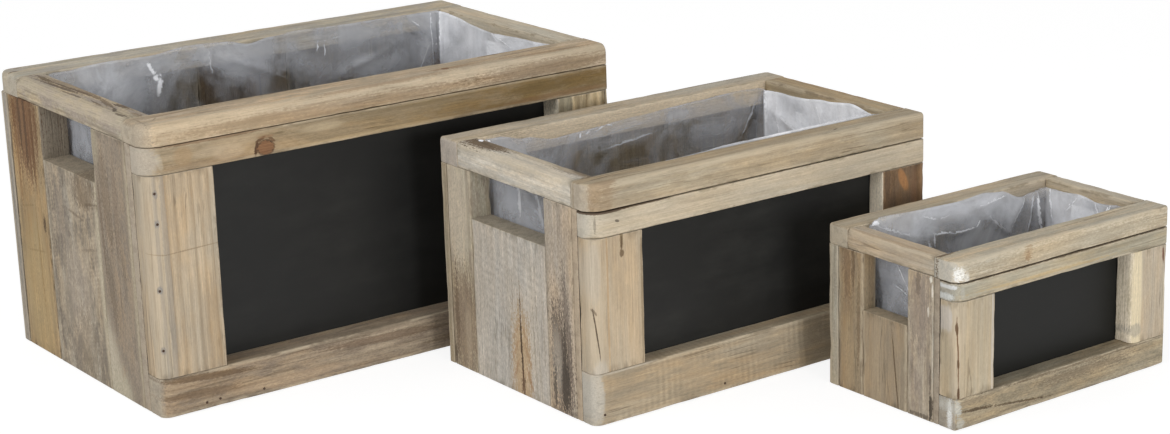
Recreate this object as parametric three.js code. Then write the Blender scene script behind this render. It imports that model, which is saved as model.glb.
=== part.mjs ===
// A set of three rectangular planters in reclaimed softwood: large, medium and small, one design.
// Each has a flat rim, a framed chalkboard front, slatted sides with hand holes, a boarded back,
// a bottom panel and a film liner. Millimetres, +Z up, fronts towards -Y, long sides along X.
// The origin is on the floor, in the middle of the rectangle that the set covers.

import * as THREE from "three";

// Driving sizes of the three planters, in the order they stand, from the back one forwards.
// rightOffset: from the left end of the planter behind to this one's left end.
// aheadGap: clear floor between the planter behind and this one.
const largeSizes = {
  name: "large",
  rightOffset: 0,
  aheadGap: 0,
  length: 500,
  depth: 304,
  height: 270,
  rim: { thickness: 20, frontWidth: 40, backWidth: 43, leftWidth: 28, rightWidth: 28 },
  frame: { thickness: 26.5, topRailHeight: 25.5, bottomRailHeight: 37 },
  stiles: { leftWidth: 66, rightWidth: 61 },
  rimGap: 0.5,
  panelThickness: 10.5,
  side: { thickness: 28, frontSlatWidth: 67, rearSlatWidth: 70, handHoleHeight: 51 },
  back: { thickness: 18, boards: 5, joined: false },
  bottomThickness: 12,
  linerDrop: 4,
  corners: { frontLeft: 18, stileFrontLeft: 13, footFrontLeft: 9, frontRight: 3, backRight: 4, backLeft: 14 },
};

const mediumSizes = {
  name: "medium",
  rightOffset: 280,
  aheadGap: 33.5,
  length: 395,
  depth: 238,
  height: 221,
  rim: { thickness: 24.5, frontWidth: 28, backWidth: 30, leftWidth: 24, rightWidth: 26 },
  frame: { thickness: 20, topRailHeight: 23.5, bottomRailHeight: 48.5 },
  stiles: { leftWidth: 56.5, rightWidth: 54 },
  rimGap: 0.9,
  panelThickness: 8,
  side: { thickness: 23, frontSlatWidth: 42, rearSlatWidth: 38, handHoleHeight: 45 },
  back: { thickness: 10, boards: 4, joined: true },
  bottomThickness: 12,
  linerDrop: 6,
  corners: { frontLeft: 16, stileFrontLeft: 9, footFrontLeft: 2, frontRight: 3, backRight: 3, backLeft: 3 },
};

const smallSizes = {
  name: "small",
  rightOffset: 232,
  aheadGap: 45.5,
  length: 271,
  depth: 169,
  height: 154,
  rim: { thickness: 19, frontWidth: 29, backWidth: 27, leftWidth: 18, rightWidth: 17 },
  frame: { thickness: 21.5, topRailHeight: 16.7, bottomRailHeight: 29 },
  stiles: { leftWidth: 47, rightWidth: 46 },
  rimGap: 0.8,
  panelThickness: 7,
  side: { thickness: 16.5, frontSlatWidth: 33.5, rearSlatWidth: 32.5, handHoleHeight: 53 },
  back: { thickness: 14, boards: 3, joined: true },
  bottomThickness: 10,
  linerDrop: 4,
  corners: { frontLeft: 12, stileFrontLeft: 7, footFrontLeft: 2, frontRight: 3, backRight: 3, backLeft: 4 },
};

// Sizes and clearances that all three share.
const boardGap = 0.5; // between boards that stand side by side
const bottomGap = 0.3; // between the bottom panel and the walls round it
const linerGap = 0.4; // between the film and the wood
const filmThickness = 1; // the liner with its folds, as one thickness
const linerCornerRadius = 9; // radius of the liner's upright corners, outside
const linerFloorRadius = 6; // radius where the liner's wall turns into its floor
const arrisEase = 1; // the worn edge along every board
const grooveDepth = 2.5; // the joint between joined back boards, cut from both faces
const grooveWidth = 1.6;

// Steps round a curve.
const roundedCornerSteps = 6;
const linerCornerSteps = 5;
const linerFloorSteps = 3;

// Finishes, with the tone each kind of board has in the photograph.
function softwood(tone, roughness = 0.8) {
  return new THREE.MeshStandardMaterial({ color: tone, roughness, metalness: 0 });
}

const finishes = {
  rim: softwood("#ab9a80"),
  rail: softwood("#a8967a"),
  weatheredRail: softwood("#94836c"),
  stile: softwood("#bcaa8e"),
  brownBoard: softwood("#6c5641"),
  honeySlat: softwood("#9f8b6c"),
  greySlat: softwood("#9c9486"),
  backBoard: softwood("#a49c8c"),
  bottom: softwood("#a8977c"),
  chalkboard: softwood("#2d2d2b", 0.9),
  film: new THREE.MeshStandardMaterial({
    color: "#9a9b9c",
    roughness: 0.35,
    metalness: 0,
    side: THREE.DoubleSide,
  }),
};

// Points of a rectangle seen from above, with each corner rounded by its own radius. A corner
// that is no rounder than the arris is cut straight across.
function roundedRectangle(width, depth, radii) {
  const corners = [
    { x: 0, y: 0, radius: radii.frontLeft, start: Math.PI },
    { x: width, y: 0, radius: radii.frontRight, start: 1.5 * Math.PI },
    { x: width, y: depth, radius: radii.backRight, start: 0 },
    { x: 0, y: depth, radius: radii.backLeft, start: 0.5 * Math.PI },
  ];
  const points = [];
  for (const corner of corners) {
    const centreX = corner.x === 0 ? corner.radius : width - corner.radius;
    const centreY = corner.y === 0 ? corner.radius : depth - corner.radius;
    const steps = corner.radius > arrisEase ? roundedCornerSteps : 1;
    for (let step = 0; step <= steps; step += 1) {
      const angle = corner.start + (step / steps) * 0.5 * Math.PI;
      const x = centreX + corner.radius * Math.cos(angle);
      const y = centreY + corner.radius * Math.sin(angle);
      points.push(new THREE.Vector2(x, y));
    }
  }
  return points;
}

// One board that fills the given box. The outline seen from above may have rounded corners, and
// the edges round both ends of the board are eased.
function boardGeometry(box, corners = {}) {
  const radii = {
    frontLeft: arrisEase,
    frontRight: arrisEase,
    backRight: arrisEase,
    backLeft: arrisEase,
    ...corners,
  };
  const [width, depth, height] = [0, 1, 2].map((axis) => box.max[axis] - box.min[axis]);
  const outline = new THREE.Shape(roundedRectangle(width, depth, radii));
  const geometry = new THREE.ExtrudeGeometry(outline, {
    depth: height - 2 * arrisEase,
    bevelEnabled: true,
    bevelThickness: arrisEase,
    bevelSize: arrisEase,
    bevelOffset: -arrisEase,
    bevelSegments: 1,
  });
  geometry.translate(box.min[0], box.min[1], box.min[2] + arrisEase);
  return geometry;
}

// Upright boards joined edge to edge into one panel, with a V groove at each joint on both faces.
function joinedBoardsGeometry(box, boards, outerCorners) {
  const width = box.max[0] - box.min[0];
  const depth = box.max[1] - box.min[1];
  const halfGroove = 0.5 * grooveWidth;
  const joints = [];
  for (let joint = 1; joint < boards; joint += 1) joints.push((width * joint) / boards);
  const corner = outerCorners.backLeft;
  const farCorner = outerCorners.backRight;
  const points = [[0, 0]];
  for (const x of joints) points.push([x - halfGroove, 0], [x, grooveDepth], [x + halfGroove, 0]);
  points.push([width, 0], [width, depth - farCorner], [width - farCorner, depth]);
  for (const x of joints.reverse()) {
    points.push([x + halfGroove, depth], [x, depth - grooveDepth], [x - halfGroove, depth]);
  }
  points.push([corner, depth], [0, depth - corner]);
  const outline = new THREE.Shape(points.map(([x, y]) => new THREE.Vector2(x, y)));
  const geometry = new THREE.ExtrudeGeometry(outline, {
    depth: box.max[2] - box.min[2],
    bevelEnabled: false,
  });
  geometry.translate(...box.min);
  return geometry;
}

// A closed skin through a list of rings with equally many points each. The first and the last
// ring are closed with flat faces.
function skinThroughRings(rings) {
  const count = rings[0].length;
  const positions = rings.flat(2);
  const faces = [];
  for (let ring = 0; ring < rings.length - 1; ring += 1) {
    for (let point = 0; point < count; point += 1) {
      const next = (point + 1) % count;
      const a = ring * count + point;
      const b = ring * count + next;
      const c = a + count;
      const d = b + count;
      faces.push(a, b, d, a, d, c);
    }
  }
  const last = (rings.length - 1) * count;
  for (let point = 1; point < count - 1; point += 1) {
    faces.push(0, point + 1, point);
    faces.push(last, last + point, last + point + 1);
  }
  const geometry = new THREE.BufferGeometry();
  geometry.setAttribute("position", new THREE.Float32BufferAttribute(positions, 3));
  geometry.setIndex(faces);
  geometry.computeVertexNormals();
  return geometry;
}

// The liner: an open-topped bag that fills the given box, with one wall thickness throughout.
function linerGeometry(box) {
  const ring = (inset, cornerRadius, z) => {
    const width = box.max[0] - box.min[0] - 2 * inset;
    const depth = box.max[1] - box.min[1] - 2 * inset;
    const points = [];
    for (let corner = 0; corner < 4; corner += 1) {
      const centreX = (corner === 0 || corner === 3 ? cornerRadius : width - cornerRadius) + inset;
      const centreY = (corner < 2 ? cornerRadius : depth - cornerRadius) + inset;
      for (let step = 0; step <= linerCornerSteps; step += 1) {
        const angle = Math.PI + 0.5 * Math.PI * (corner + step / linerCornerSteps);
        const x = box.min[0] + centreX + cornerRadius * Math.cos(angle);
        const y = box.min[1] + centreY + cornerRadius * Math.sin(angle);
        points.push([x, y, z]);
      }
    }
    return points;
  };
  const floorCurve = (radius, inset, lift) => {
    const rings = [];
    for (let step = 0; step <= linerFloorSteps; step += 1) {
      const angle = (0.5 * Math.PI * step) / linerFloorSteps;
      const drawnIn = inset + radius * (1 - Math.sin(angle));
      const corner = linerCornerRadius - drawnIn;
      rings.push(ring(drawnIn, corner, box.min[2] + lift + radius * (1 - Math.cos(angle))));
    }
    return rings;
  };
  const outside = floorCurve(linerFloorRadius, 0, 0);
  const inside = floorCurve(linerFloorRadius - filmThickness, filmThickness, filmThickness);
  const rim = [ring(0, linerCornerRadius, box.max[2])];
  rim.push(ring(filmThickness, linerCornerRadius - filmThickness, box.max[2]));
  return skinThroughRings([...outside, ...rim, ...inside.reverse()]);
}

function addPiece(group, name, geometry, material) {
  const mesh = new THREE.Mesh(geometry, material);
  mesh.name = name;
  group.add(mesh);
}

// The four flat boards on top. The front and back ones run the full length.
function addRim(group, sizes) {
  const { name, length, depth, height, rim, corners } = sizes;
  const low = height - rim.thickness;
  const backStart = depth - rim.backWidth;
  const front = { min: [0, 0, low], max: [length, rim.frontWidth, height] };
  const frontCorners = { frontLeft: corners.frontLeft, frontRight: corners.frontRight };
  addPiece(group, `${name}_rim_front`, boardGeometry(front, frontCorners), finishes.rim);
  const back = { min: [0, backStart, low], max: [length, depth, height] };
  const backCorners = { backRight: corners.backRight, backLeft: corners.backLeft };
  addPiece(group, `${name}_rim_back`, boardGeometry(back, backCorners), finishes.rim);
  const left = { min: [0, rim.frontWidth, low], max: [rim.leftWidth, backStart, height] };
  addPiece(group, `${name}_rim_left`, boardGeometry(left), finishes.rim);
  const right = { min: [length - rim.rightWidth, rim.frontWidth, low], max: [length, backStart, height] };
  addPiece(group, `${name}_rim_right`, boardGeometry(right), finishes.rim);
}

// The face frame: two rails over the full length, with the stiles standing between them.
function addFaceFrame(group, sizes, wallTop) {
  const { name, length, frame, stiles, rimGap, corners } = sizes;
  const railTop = wallTop - rimGap;
  const stileTop = railTop - frame.topRailHeight;
  const rightRound = { frontRight: corners.frontRight };
  const topRound = { frontLeft: corners.frontLeft, ...rightRound };
  const footRound = { frontLeft: corners.footFrontLeft, ...rightRound };
  const topRail = { min: [0, 0, stileTop], max: [length, frame.thickness, railTop] };
  addPiece(group, `${name}_top_rail`, boardGeometry(topRail, topRound), finishes.rail);
  const bottomRail = { min: [0, 0, 0], max: [length, frame.thickness, frame.bottomRailHeight] };
  addPiece(group, `${name}_bottom_rail`, boardGeometry(bottomRail, footRound), finishes.weatheredRail);

  const stile = (start, end) => ({
    min: [start, 0, frame.bottomRailHeight],
    max: [end, frame.thickness, stileTop],
  });
  const leftStile = boardGeometry(stile(0, stiles.leftWidth), { frontLeft: corners.stileFrontLeft });
  addPiece(group, `${name}_left_stile`, leftStile, finishes.stile);
  const rightStart = length - stiles.rightWidth;
  const rightStile = boardGeometry(stile(rightStart, length), rightRound);
  const rightFinish = name === "medium" ? finishes.brownBoard : finishes.stile;
  addPiece(group, `${name}_right_stile`, rightStile, rightFinish);
}

// The slats of one side wall. The middle one stops short and leaves the hand hole.
function addSideSlats(group, sizes, wallTop, sideName, startX) {
  const { name, depth, frame, panelThickness, side, back } = sizes;
  const endX = startX + side.thickness;
  const frontY = frame.thickness + panelThickness + boardGap;
  const backY = depth - back.thickness - boardGap;
  const middleFrontY = frontY + side.frontSlatWidth + boardGap;
  const middleBackY = backY - side.rearSlatWidth - boardGap;
  const holeFloor = wallTop - side.handHoleHeight;
  const slat = (fromY, toY, top) => ({ min: [startX, fromY, 0], max: [endX, toY, top] });
  const front = boardGeometry(slat(frontY, frontY + side.frontSlatWidth, wallTop));
  addPiece(group, `${name}_${sideName}_slat_front`, front, finishes.greySlat);
  const middle = boardGeometry(slat(middleFrontY, middleBackY, holeFloor));
  addPiece(group, `${name}_${sideName}_slat_middle`, middle, finishes.greySlat);
  const rear = boardGeometry(slat(backY - side.rearSlatWidth, backY, wallTop));
  addPiece(group, `${name}_${sideName}_slat_rear`, rear, finishes.honeySlat);
}

// The back wall of upright boards.
function addBack(group, sizes, wallTop) {
  const { name, length, depth, back, corners } = sizes;
  const frontY = depth - back.thickness;
  if (back.joined) {
    const box = { min: [0, frontY, 0], max: [length, depth, wallTop] };
    const panel = joinedBoardsGeometry(box, back.boards, corners);
    addPiece(group, `${name}_back_boards`, panel, finishes.backBoard);
    return;
  }
  const width = (length - boardGap * (back.boards - 1)) / back.boards;
  for (let index = 0; index < back.boards; index += 1) {
    const startX = index * (width + boardGap);
    const round = {};
    if (index === 0) round.backLeft = corners.backLeft;
    if (index === back.boards - 1) round.backRight = corners.backRight;
    const box = { min: [startX, frontY, 0], max: [startX + width, depth, wallTop] };
    addPiece(group, `${name}_back_board_${index + 1}`, boardGeometry(box, round), finishes.backBoard);
  }
}

// The bottom panel between the walls, and the liner that stands on it inside the rim.
function addInside(group, sizes) {
  const { name, length, depth, height, rim, frame, panelThickness, side, back } = sizes;
  const wallFront = frame.thickness + panelThickness;
  const bottom = {
    min: [side.thickness + bottomGap, wallFront + bottomGap, 0],
    max: [
      length - side.thickness - bottomGap,
      depth - back.thickness - bottomGap,
      sizes.bottomThickness,
    ],
  };
  addPiece(group, `${name}_bottom_panel`, boardGeometry(bottom), finishes.bottom);
  const liner = {
    min: [
      Math.max(rim.leftWidth, side.thickness) + linerGap,
      Math.max(rim.frontWidth, wallFront) + linerGap,
      sizes.bottomThickness + linerGap,
    ],
    max: [
      length - Math.max(rim.rightWidth, side.thickness) - linerGap,
      depth - Math.max(rim.backWidth, back.thickness) - linerGap,
      height - sizes.linerDrop,
    ],
  };
  addPiece(group, `${name}_liner`, linerGeometry(liner), finishes.film);
}

// The chalkboard: a full-size panel behind the face frame, bare where the frame leaves it open.
function addChalkboard(group, sizes, wallTop) {
  const { name, length, frame, panelThickness } = sizes;
  const backY = frame.thickness + panelThickness;
  const box = { min: [0, frame.thickness, 0], max: [length, backY, wallTop] };
  addPiece(group, `${name}_chalkboard`, boardGeometry(box), finishes.chalkboard);
}

function makePlanter(sizes) {
  const group = new THREE.Group();
  const wallTop = sizes.height - sizes.rim.thickness;
  addRim(group, sizes);
  addFaceFrame(group, sizes, wallTop);
  addChalkboard(group, sizes, wallTop);
  addSideSlats(group, sizes, wallTop, "left", 0);
  addSideSlats(group, sizes, wallTop, "right", sizes.length - sizes.side.thickness);
  addBack(group, sizes, wallTop);
  addInside(group, sizes);
  return group;
}

// The set as it stands: each planter further forward and to the right of the one behind it.
function makeSet(allSizes) {
  const set = new THREE.Group();
  const footprint = new THREE.Box2();
  let left = 0;
  let front = 0;
  allSizes.forEach((sizes, index) => {
    left += sizes.rightOffset;
    if (index > 0) front -= sizes.aheadGap + sizes.depth;
    const planter = makePlanter(sizes);
    planter.position.set(left, front, 0);
    set.add(planter);
    footprint.expandByPoint(new THREE.Vector2(left, front));
    footprint.expandByPoint(new THREE.Vector2(left + sizes.length, front + sizes.depth));
  });
  const middle = footprint.getCenter(new THREE.Vector2());
  for (const planter of set.children) {
    planter.position.x -= middle.x;
    planter.position.y -= middle.y;
  }
  return set;
}

export default makeSet([largeSizes, mediumSizes, smallSizes]);
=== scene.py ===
# A set of three planters in reclaimed pine, with chalkboard fronts and crinkled film liners.
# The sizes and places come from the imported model; every board is cut again here with worn edges.
# Metres, +Z up, fronts towards -Y. Values that end in Mm, and the looks below, are in millimetres.

import math
import random
from functools import partial

import bpy
from mathutils import Matrix, Vector, noise


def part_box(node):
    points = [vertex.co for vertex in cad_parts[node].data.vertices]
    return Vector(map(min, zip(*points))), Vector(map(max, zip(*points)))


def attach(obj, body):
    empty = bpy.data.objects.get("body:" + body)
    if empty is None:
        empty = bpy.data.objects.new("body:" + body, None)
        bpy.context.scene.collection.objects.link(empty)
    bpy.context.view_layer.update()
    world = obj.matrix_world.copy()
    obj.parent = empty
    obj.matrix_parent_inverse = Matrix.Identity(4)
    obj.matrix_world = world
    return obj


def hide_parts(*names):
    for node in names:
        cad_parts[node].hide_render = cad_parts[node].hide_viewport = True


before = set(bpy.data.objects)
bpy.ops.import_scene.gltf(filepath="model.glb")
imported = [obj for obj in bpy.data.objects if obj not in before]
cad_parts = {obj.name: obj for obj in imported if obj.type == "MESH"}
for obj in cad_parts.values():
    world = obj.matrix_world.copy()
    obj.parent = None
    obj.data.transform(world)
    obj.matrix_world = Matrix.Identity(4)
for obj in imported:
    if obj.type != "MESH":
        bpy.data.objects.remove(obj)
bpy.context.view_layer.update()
mm = 0.001
print("frame loaded:", len(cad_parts), "nodes")


def toLinear(hexColour):
    # sRGB hex to the linear values that shaders take
    shares = [int(hexColour[i : i + 2], 16) / 255 for i in (1, 3, 5)]
    return [c / 12.92 if c <= 0.04045 else ((c + 0.055) / 1.055) ** 2.4 for c in shares] + [1.0]


def addNode(tree, kind, *inputs, **settings):
    # one shader node. kind is its type and, after a space, its operation; inputs are its sockets, in their
    # order or in a dictionary, each given a value, or a socket or a node to link; settings are its other
    # properties. A Mix of colours has its factor in socket 0 and its colours in 6 and 7.
    kind, _, operation = kind.partition(" ")
    node = tree.nodes.new("ShaderNode" + kind)
    if operation:
        node.operation = operation
    for setting, value in settings.items():
        setattr(node, setting, value)
    sockets = inputs[0] if inputs and isinstance(inputs[0], dict) else dict(enumerate(inputs))
    for key, value in sockets.items():
        if isinstance(value, bpy.types.Node):
            value = next(socket for socket in value.outputs if socket.enabled)
        if isinstance(value, bpy.types.NodeSocket):
            tree.links.new(value, node.inputs[key])
        else:
            node.inputs[key].default_value = value
    return node


def newMaterial(name):
    # an empty material, and addNode for it
    material = bpy.data.materials.new(name)
    material.use_nodes = True
    material.node_tree.nodes.clear()
    return material, partial(addNode, material.node_tree)


def inMillimetres(add):
    # the place on the piece, along its own axes
    return add("VectorMath SCALE", {0: add("TexCoord").outputs["Object"], "Scale": 1 / mm})


# Reclaimed pine: old packing boards, sawn or planed once, left outside, then brushed. To the eye it is matt,
# with rings that run round the heart of the tree, grey and brown mottling, dark flecks and streaks, and worn
# edges.
pineDefaults = {
    "tones": ("#bfae92", "#94805f", "#8f887c"),  # between the rings, late wood, and what weather turns it to
    "worn": "#c6b8a0",  # rubbed edges
    "end": "#aba292",  # end grain
    "side": None,  # the narrow sides, where they are cut fresh; near white on the right stiles, as painted light
    "rings": 0.45,  # how strongly the rings show
    "ring": 5.0,  # from one ring to the next
    "heart": (20, -50),  # where the tree's heart lies, across the board and through it
    "lean": (0.0, 0.02),  # how the heart runs out of line with the board
    "wander": 5.0,  # how far rings leave their circle
    "weathering": 0.35,  # mottling
    "patchMm": (34, 12),  # its patches, along and across the grain
    "streaks": 0.35,  # long dark streaks
    "flecks": 0.4,  # short dark flecks
    "fibre": 0.28,
    "patchy": 1.0,  # warm and cool patches
    "bands": 0.8,  # lighter and darker bands along the grain
    "cracks": 0.5,  # hairline drying cracks along the grain
    "grime": 0.5,  # dirt along the edges and in the joints
    "ragged": 0.35,  # how ragged the edges of the marks are
    "rough": 0.3,  # torn and furry from the saw
    "sawn": 0.0,  # marks that the saw left across the board
    "sawPitch": 3.2,
    "sawSlope": 0.12,
    "wear": 0.5,
    "far": None,  # the tone that the board changes to at its far end
    "knots": (),  # along, across, radius
    # along, across, half length, half width, lean in degrees, tone, strength, and where a mark doesn't go
    # right through the board, its place and half size in the board's thickness
    "marks": (),
}
# Patterns of noise drawn out along the board: size along and across the grain in millimetres, detail,
# roughness, and the part of the noise's range that is used. The mottling's size comes from the board's look.
pineGrain = {
    "wander": ((170, 38), 2.0, 0.5, 0.0, 1.0),
    "fibre": ((45, 1.1), 5.0, 0.7, 0.28, 0.72),
    "fleck": ((9, 1.0), 3.0, 0.6, 0.6, 0.74),
    "streak": ((150, 6), 4.0, 0.62, 0.5, 0.74),
    "mottle": (None, 7.0, 0.64, 0.42, 0.64),
    "cloud": ((110, 34), 4.0, 0.6, 0.32, 0.68),
    "hue": ((160, 28), 4.0, 0.6, 0.38, 0.62),
    "band": ((90, 3.2), 3.0, 0.6, 0.3, 0.7),
    "torn": ((3.4, 1.4), 4.0, 0.7, 0.3, 0.7),
    "soil": ((26, 9), 5.0, 0.66, 0.47, 0.6),
    "crack": ((210, 8), 3.0, 0.5, 0.0, 1.0),
    "cracked": ((95, 30), 3.0, 0.6, 0.54, 0.6),
    "sawing": ((38, 46), 3.0, 0.6, 0.42, 0.66),
}
lateWood = ((0.22, 0.0), (0.5, 0.15), (0.8, 0.9), (0.92, 1.0))  # how dark a year's ring is, from its start on
knot = {  # sizes as shares of its radius
    "stretch": 1.25,  # longer than wide
    "wander": 0.3,
    "torn": 0.22,
    "push": 2.0,  # how far it pushes the rings aside, and over what reach
    "pushFrom": 0.6,
    "pushTo": 4.5,
    "edge": (1.1, 0.8),
    "wood": ("#573823", "#9a7352"),
    "bark": "#3b2819",
}
relief = {"late": 0.6, "torn": 1.6, "crack": -2.5, "saw": 0.8, "depthMm": 0.35}
blend = {
    "paleYear": 0.45,  # the weakest ring, as a share of the strongest
    "far": (0.15, 0.85),  # where the board changes to its far tone, as shares of its length
    "clouds": (0.87, 1.09),
    "bands": (-0.16, 0.12),
    "fibre": (-0.8, 0.55),
    "torn": (-0.42, 0.3),
    "warm": (0.08, 0.0, -0.1),
    "cool": (-0.07, -0.02, 0.05),
    "deep": 0.42,  # dirt, as a share of the late wood's tone
    "sawWander": 0.4,
    "sawShade": 0.13,
    "rubbed": 0.2,  # the least rubbed parts of an edge, as a share of the most rubbed
    "side": (0.6, 0.8, 0.9),  # from and to which slope it shows, and how strongly
    "end": (0.55, 0.95, 0.6),
    "mark": (0.7, 0.45),  # where a mark's edge begins, as a share of its size, and how soft it is
    "matt": (0.68, 0.9),
}
throughBoard = (0, 1e6)


def reclaimedPine(name, look, lengthMm, seed):
    look = {**pineDefaults, **look}

    def between(name, strength):  # how dark and how light a pattern of this strength makes the wood
        low, high = blend[name]
        return 1 + low * strength, 1 + high * strength

    pale, dark, grey = (toLinear(tone) for tone in look["tones"])
    material, add = newMaterial(name)
    place = inMillimetres(add)
    alongBoard, acrossBoard, _ = add("SeparateXYZ", {0: place}).outputs
    shift = (seed * 37.1 % 900, seed * 71.7 % 700, seed * 13.3 % 500)  # no two boards are alike
    moved = add("VectorMath ADD", place, shift)

    def grain(pattern, toLow=0.0, toHigh=1.0, curve="LINEAR"):
        size, detail, roughness, low, high = pineGrain[pattern]
        alongMm, acrossMm = size or look["patchMm"]
        sizes = (1 / alongMm, 1 / acrossMm, 1 / acrossMm)
        scaled = add("VectorMath MULTIPLY", moved, sizes)
        texture = add("TexNoise", {"Vector": scaled, "Scale": 1.0, "Detail": detail, "Roughness": roughness})
        limits = {"Value": texture, "From Min": low, "From Max": high, "To Min": toLow, "To Max": toHigh}
        return add("MapRange", limits, interpolation_type=curve)

    wander = grain("wander", -look["wander"], look["wander"])
    fibre = grain("fibre")
    torn = grain("torn")
    crack = add("Math SUBTRACT", grain("crack"), 0.5)
    crack = add("Math ABSOLUTE", crack)
    crack = add("MapRange", {"Value": crack, "From Min": 0.02, "From Max": 0.006})
    crack = add("Math MULTIPLY", crack, grain("cracked", 0.0, look["cracks"]))

    # the rings: pale early wood, then a dark band that ends sharply
    acrossHeart, throughHeart = look["heart"]
    turn = (0, look["lean"][1], look["lean"][0])
    heart = add("Mapping", {"Vector": place, "Location": (0, -acrossHeart, -throughHeart), "Rotation": turn})
    heart = add("VectorMath MULTIPLY", heart, (0, 1, 1))
    radius = add("VectorMath LENGTH", heart)
    radius = add("Math ADD", radius, wander)
    knots = None
    for along, across, size in look["knots"]:
        stretched = {"Vector": place, "Location": (along, across, 0), "Scale": (knot["stretch"], 1.0, 1e6)}
        away = add("Mapping", stretched, vector_type="TEXTURE")
        away = add("VectorMath LENGTH", away)
        away = add("Math MULTIPLY_ADD", wander, knot["wander"], away)
        away = add("Math MULTIPLY_ADD", torn, knot["torn"] * size, away)
        reach = {"From Min": size * knot["pushFrom"], "From Max": size * knot["pushTo"]}
        limits = {"Value": away, **reach, "To Min": size * knot["push"], "To Max": 0}
        push = add("MapRange", limits, interpolation_type="SMOOTHSTEP")
        radius = add("Math ADD", radius, push)
        outer, inner = (size * share for share in knot["edge"])
        inside = add("MapRange", {"Value": away, "From Min": outer, "From Max": inner})
        knots = add("Math MAXIMUM", knots, inside) if knots else inside
    years = add("Math DIVIDE", radius, look["ring"])
    ramp = add("ValToRGB", {0: add("Math FRACT", years)})
    stops = ramp.color_ramp.elements
    stops[0].position, stops[0].color = 0.0, (0.35, 0.35, 0.35, 1)
    stops[1].position, stops[1].color = 1.0, (0.4, 0.4, 0.4, 1)
    for position, value in lateWood:
        stops.new(position).color = (value, value, value, 1)
    yearTone = add("TexWhiteNoise", {"W": add("Math FLOOR", years)}, noise_dimensions="1D")
    weakest = blend["paleYear"] * look["rings"]
    yearTone = add("MapRange", {"Value": yearTone, "To Min": weakest, "To Max": look["rings"]})
    late = add("Math MULTIPLY", ramp, yearTone)

    # the wood's own tones, then weather, fibres, flecks and cracks
    if look["far"]:
        begin, full = (lengthMm * share for share in blend["far"])
        far = {"Value": alongBoard, "From Min": begin, "From Max": full}
        far = add("MapRange", far, interpolation_type="SMOOTHSTEP")
        pale = add("Mix", {0: far, 6: pale, 7: toLinear(look["far"])}, data_type="RGBA")
    colour = add("Mix", {0: late, 6: pale, 7: dark}, data_type="RGBA")
    band = grain("band", *between("bands", look["bands"]))
    bright = add("Math MULTIPLY", grain("cloud", *blend["clouds"]), band)
    colour = add("VectorMath SCALE", {0: colour, "Scale": bright})
    warm, cool = ([1 + look["patchy"] * share for share in blend[tint]] + [1] for tint in ("warm", "cool"))
    tint = add("Mix", {0: grain("hue"), 6: warm, 7: cool}, data_type="RGBA")
    colour = add("VectorMath MULTIPLY", colour, tint)
    mottle = grain("mottle", 0.0, look["weathering"] * 1.5, "SMOOTHSTEP")
    colour = add("Mix", {0: mottle, 6: colour, 7: grey}, data_type="RGBA")
    darker, lighter = between("torn", look["rough"])
    furry = add("MapRange", {"Value": torn, "To Min": darker, "To Max": lighter})
    darker, lighter = between("fibre", look["fibre"])
    shade = add("MapRange", {"Value": fibre, "To Min": darker, "To Max": lighter})
    shade = add("Math MULTIPLY", shade, furry)
    colour = add("VectorMath SCALE", {0: colour, "Scale": shade})
    deep = [blend["deep"] * share for share in dark[:3]] + [1.0]
    streak = grain("streak", 0.0, look["streaks"], "SMOOTHSTEP")
    dirt = add("Math MAXIMUM", streak, grain("fleck", 0.0, look["flecks"]))
    dirt = add("Math MAXIMUM", dirt, crack)
    colour = add("Mix", {0: dirt, 6: colour, 7: deep}, data_type="RGBA")

    # saw marks, as shallow ridges across the board
    ridge = None
    if look["sawn"]:
        slope = add("Math MULTIPLY_ADD", acrossBoard, look["sawSlope"], alongBoard)
        slope = add("Math MULTIPLY_ADD", wander, blend["sawWander"], slope)
        turn = add("Math MULTIPLY", slope, 2 * math.pi / look["sawPitch"])
        ridge = add("Math SINE", turn)
        ridge = add("Math MULTIPLY", ridge, grain("sawing", 0.0, look["sawn"]))
        sawShade = add("Math MULTIPLY_ADD", ridge, blend["sawShade"], 1.0)
        colour = add("VectorMath SCALE", {0: colour, "Scale": sawShade})

    # edges: rubbed pale, and dirty where they are sharp
    least = blend["rubbed"] * look["wear"]
    uneven = {"Value": fibre, "From Max": 0.6, "To Min": least, "To Max": look["wear"]}
    arris = add("Attribute", attribute_name="wear").outputs["Fac"]
    rubbed = add("Math MULTIPLY", arris, add("MapRange", uneven))
    colour = add("Mix", {0: rubbed, 6: colour, 7: toLinear(look["worn"])}, data_type="RGBA")
    joint = add("Attribute", attribute_name="joint").outputs["Fac"]
    soil = grain("soil", 0.0, look["grime"], "SMOOTHSTEP")
    soil = add("Math MULTIPLY", joint, soil)
    colour = add("Mix", {0: soil, 6: colour, 7: deep}, data_type="RGBA")

    # fresh sides, near white on the right stiles as painted light in their shaded recess, and end grain
    lengthwise, sideways, _ = add("SeparateXYZ", {0: add("TexCoord").outputs["Normal"]}).outputs
    if look["side"]:
        side = add("Math ABSOLUTE", sideways)
        begin, full, most = blend["side"]
        side = add("MapRange", {"Value": side, "From Min": begin, "From Max": full, "To Max": most})
        tone = add("VectorMath SCALE", {0: toLinear(look["side"])[:3], "Scale": shade})
        colour = add("Mix", {0: side, 6: colour, 7: tone}, data_type="RGBA")
    end = add("Math ABSOLUTE", lengthwise)
    begin, full, most = blend["end"]
    end = add("MapRange", {"Value": end, "From Min": begin, "From Max": full, "To Max": most})
    tone = add("VectorMath SCALE", {0: toLinear(look["end"])[:3], "Scale": furry})
    colour = add("Mix", {0: end, 6: colour, 7: tone}, data_type="RGBA")
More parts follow.
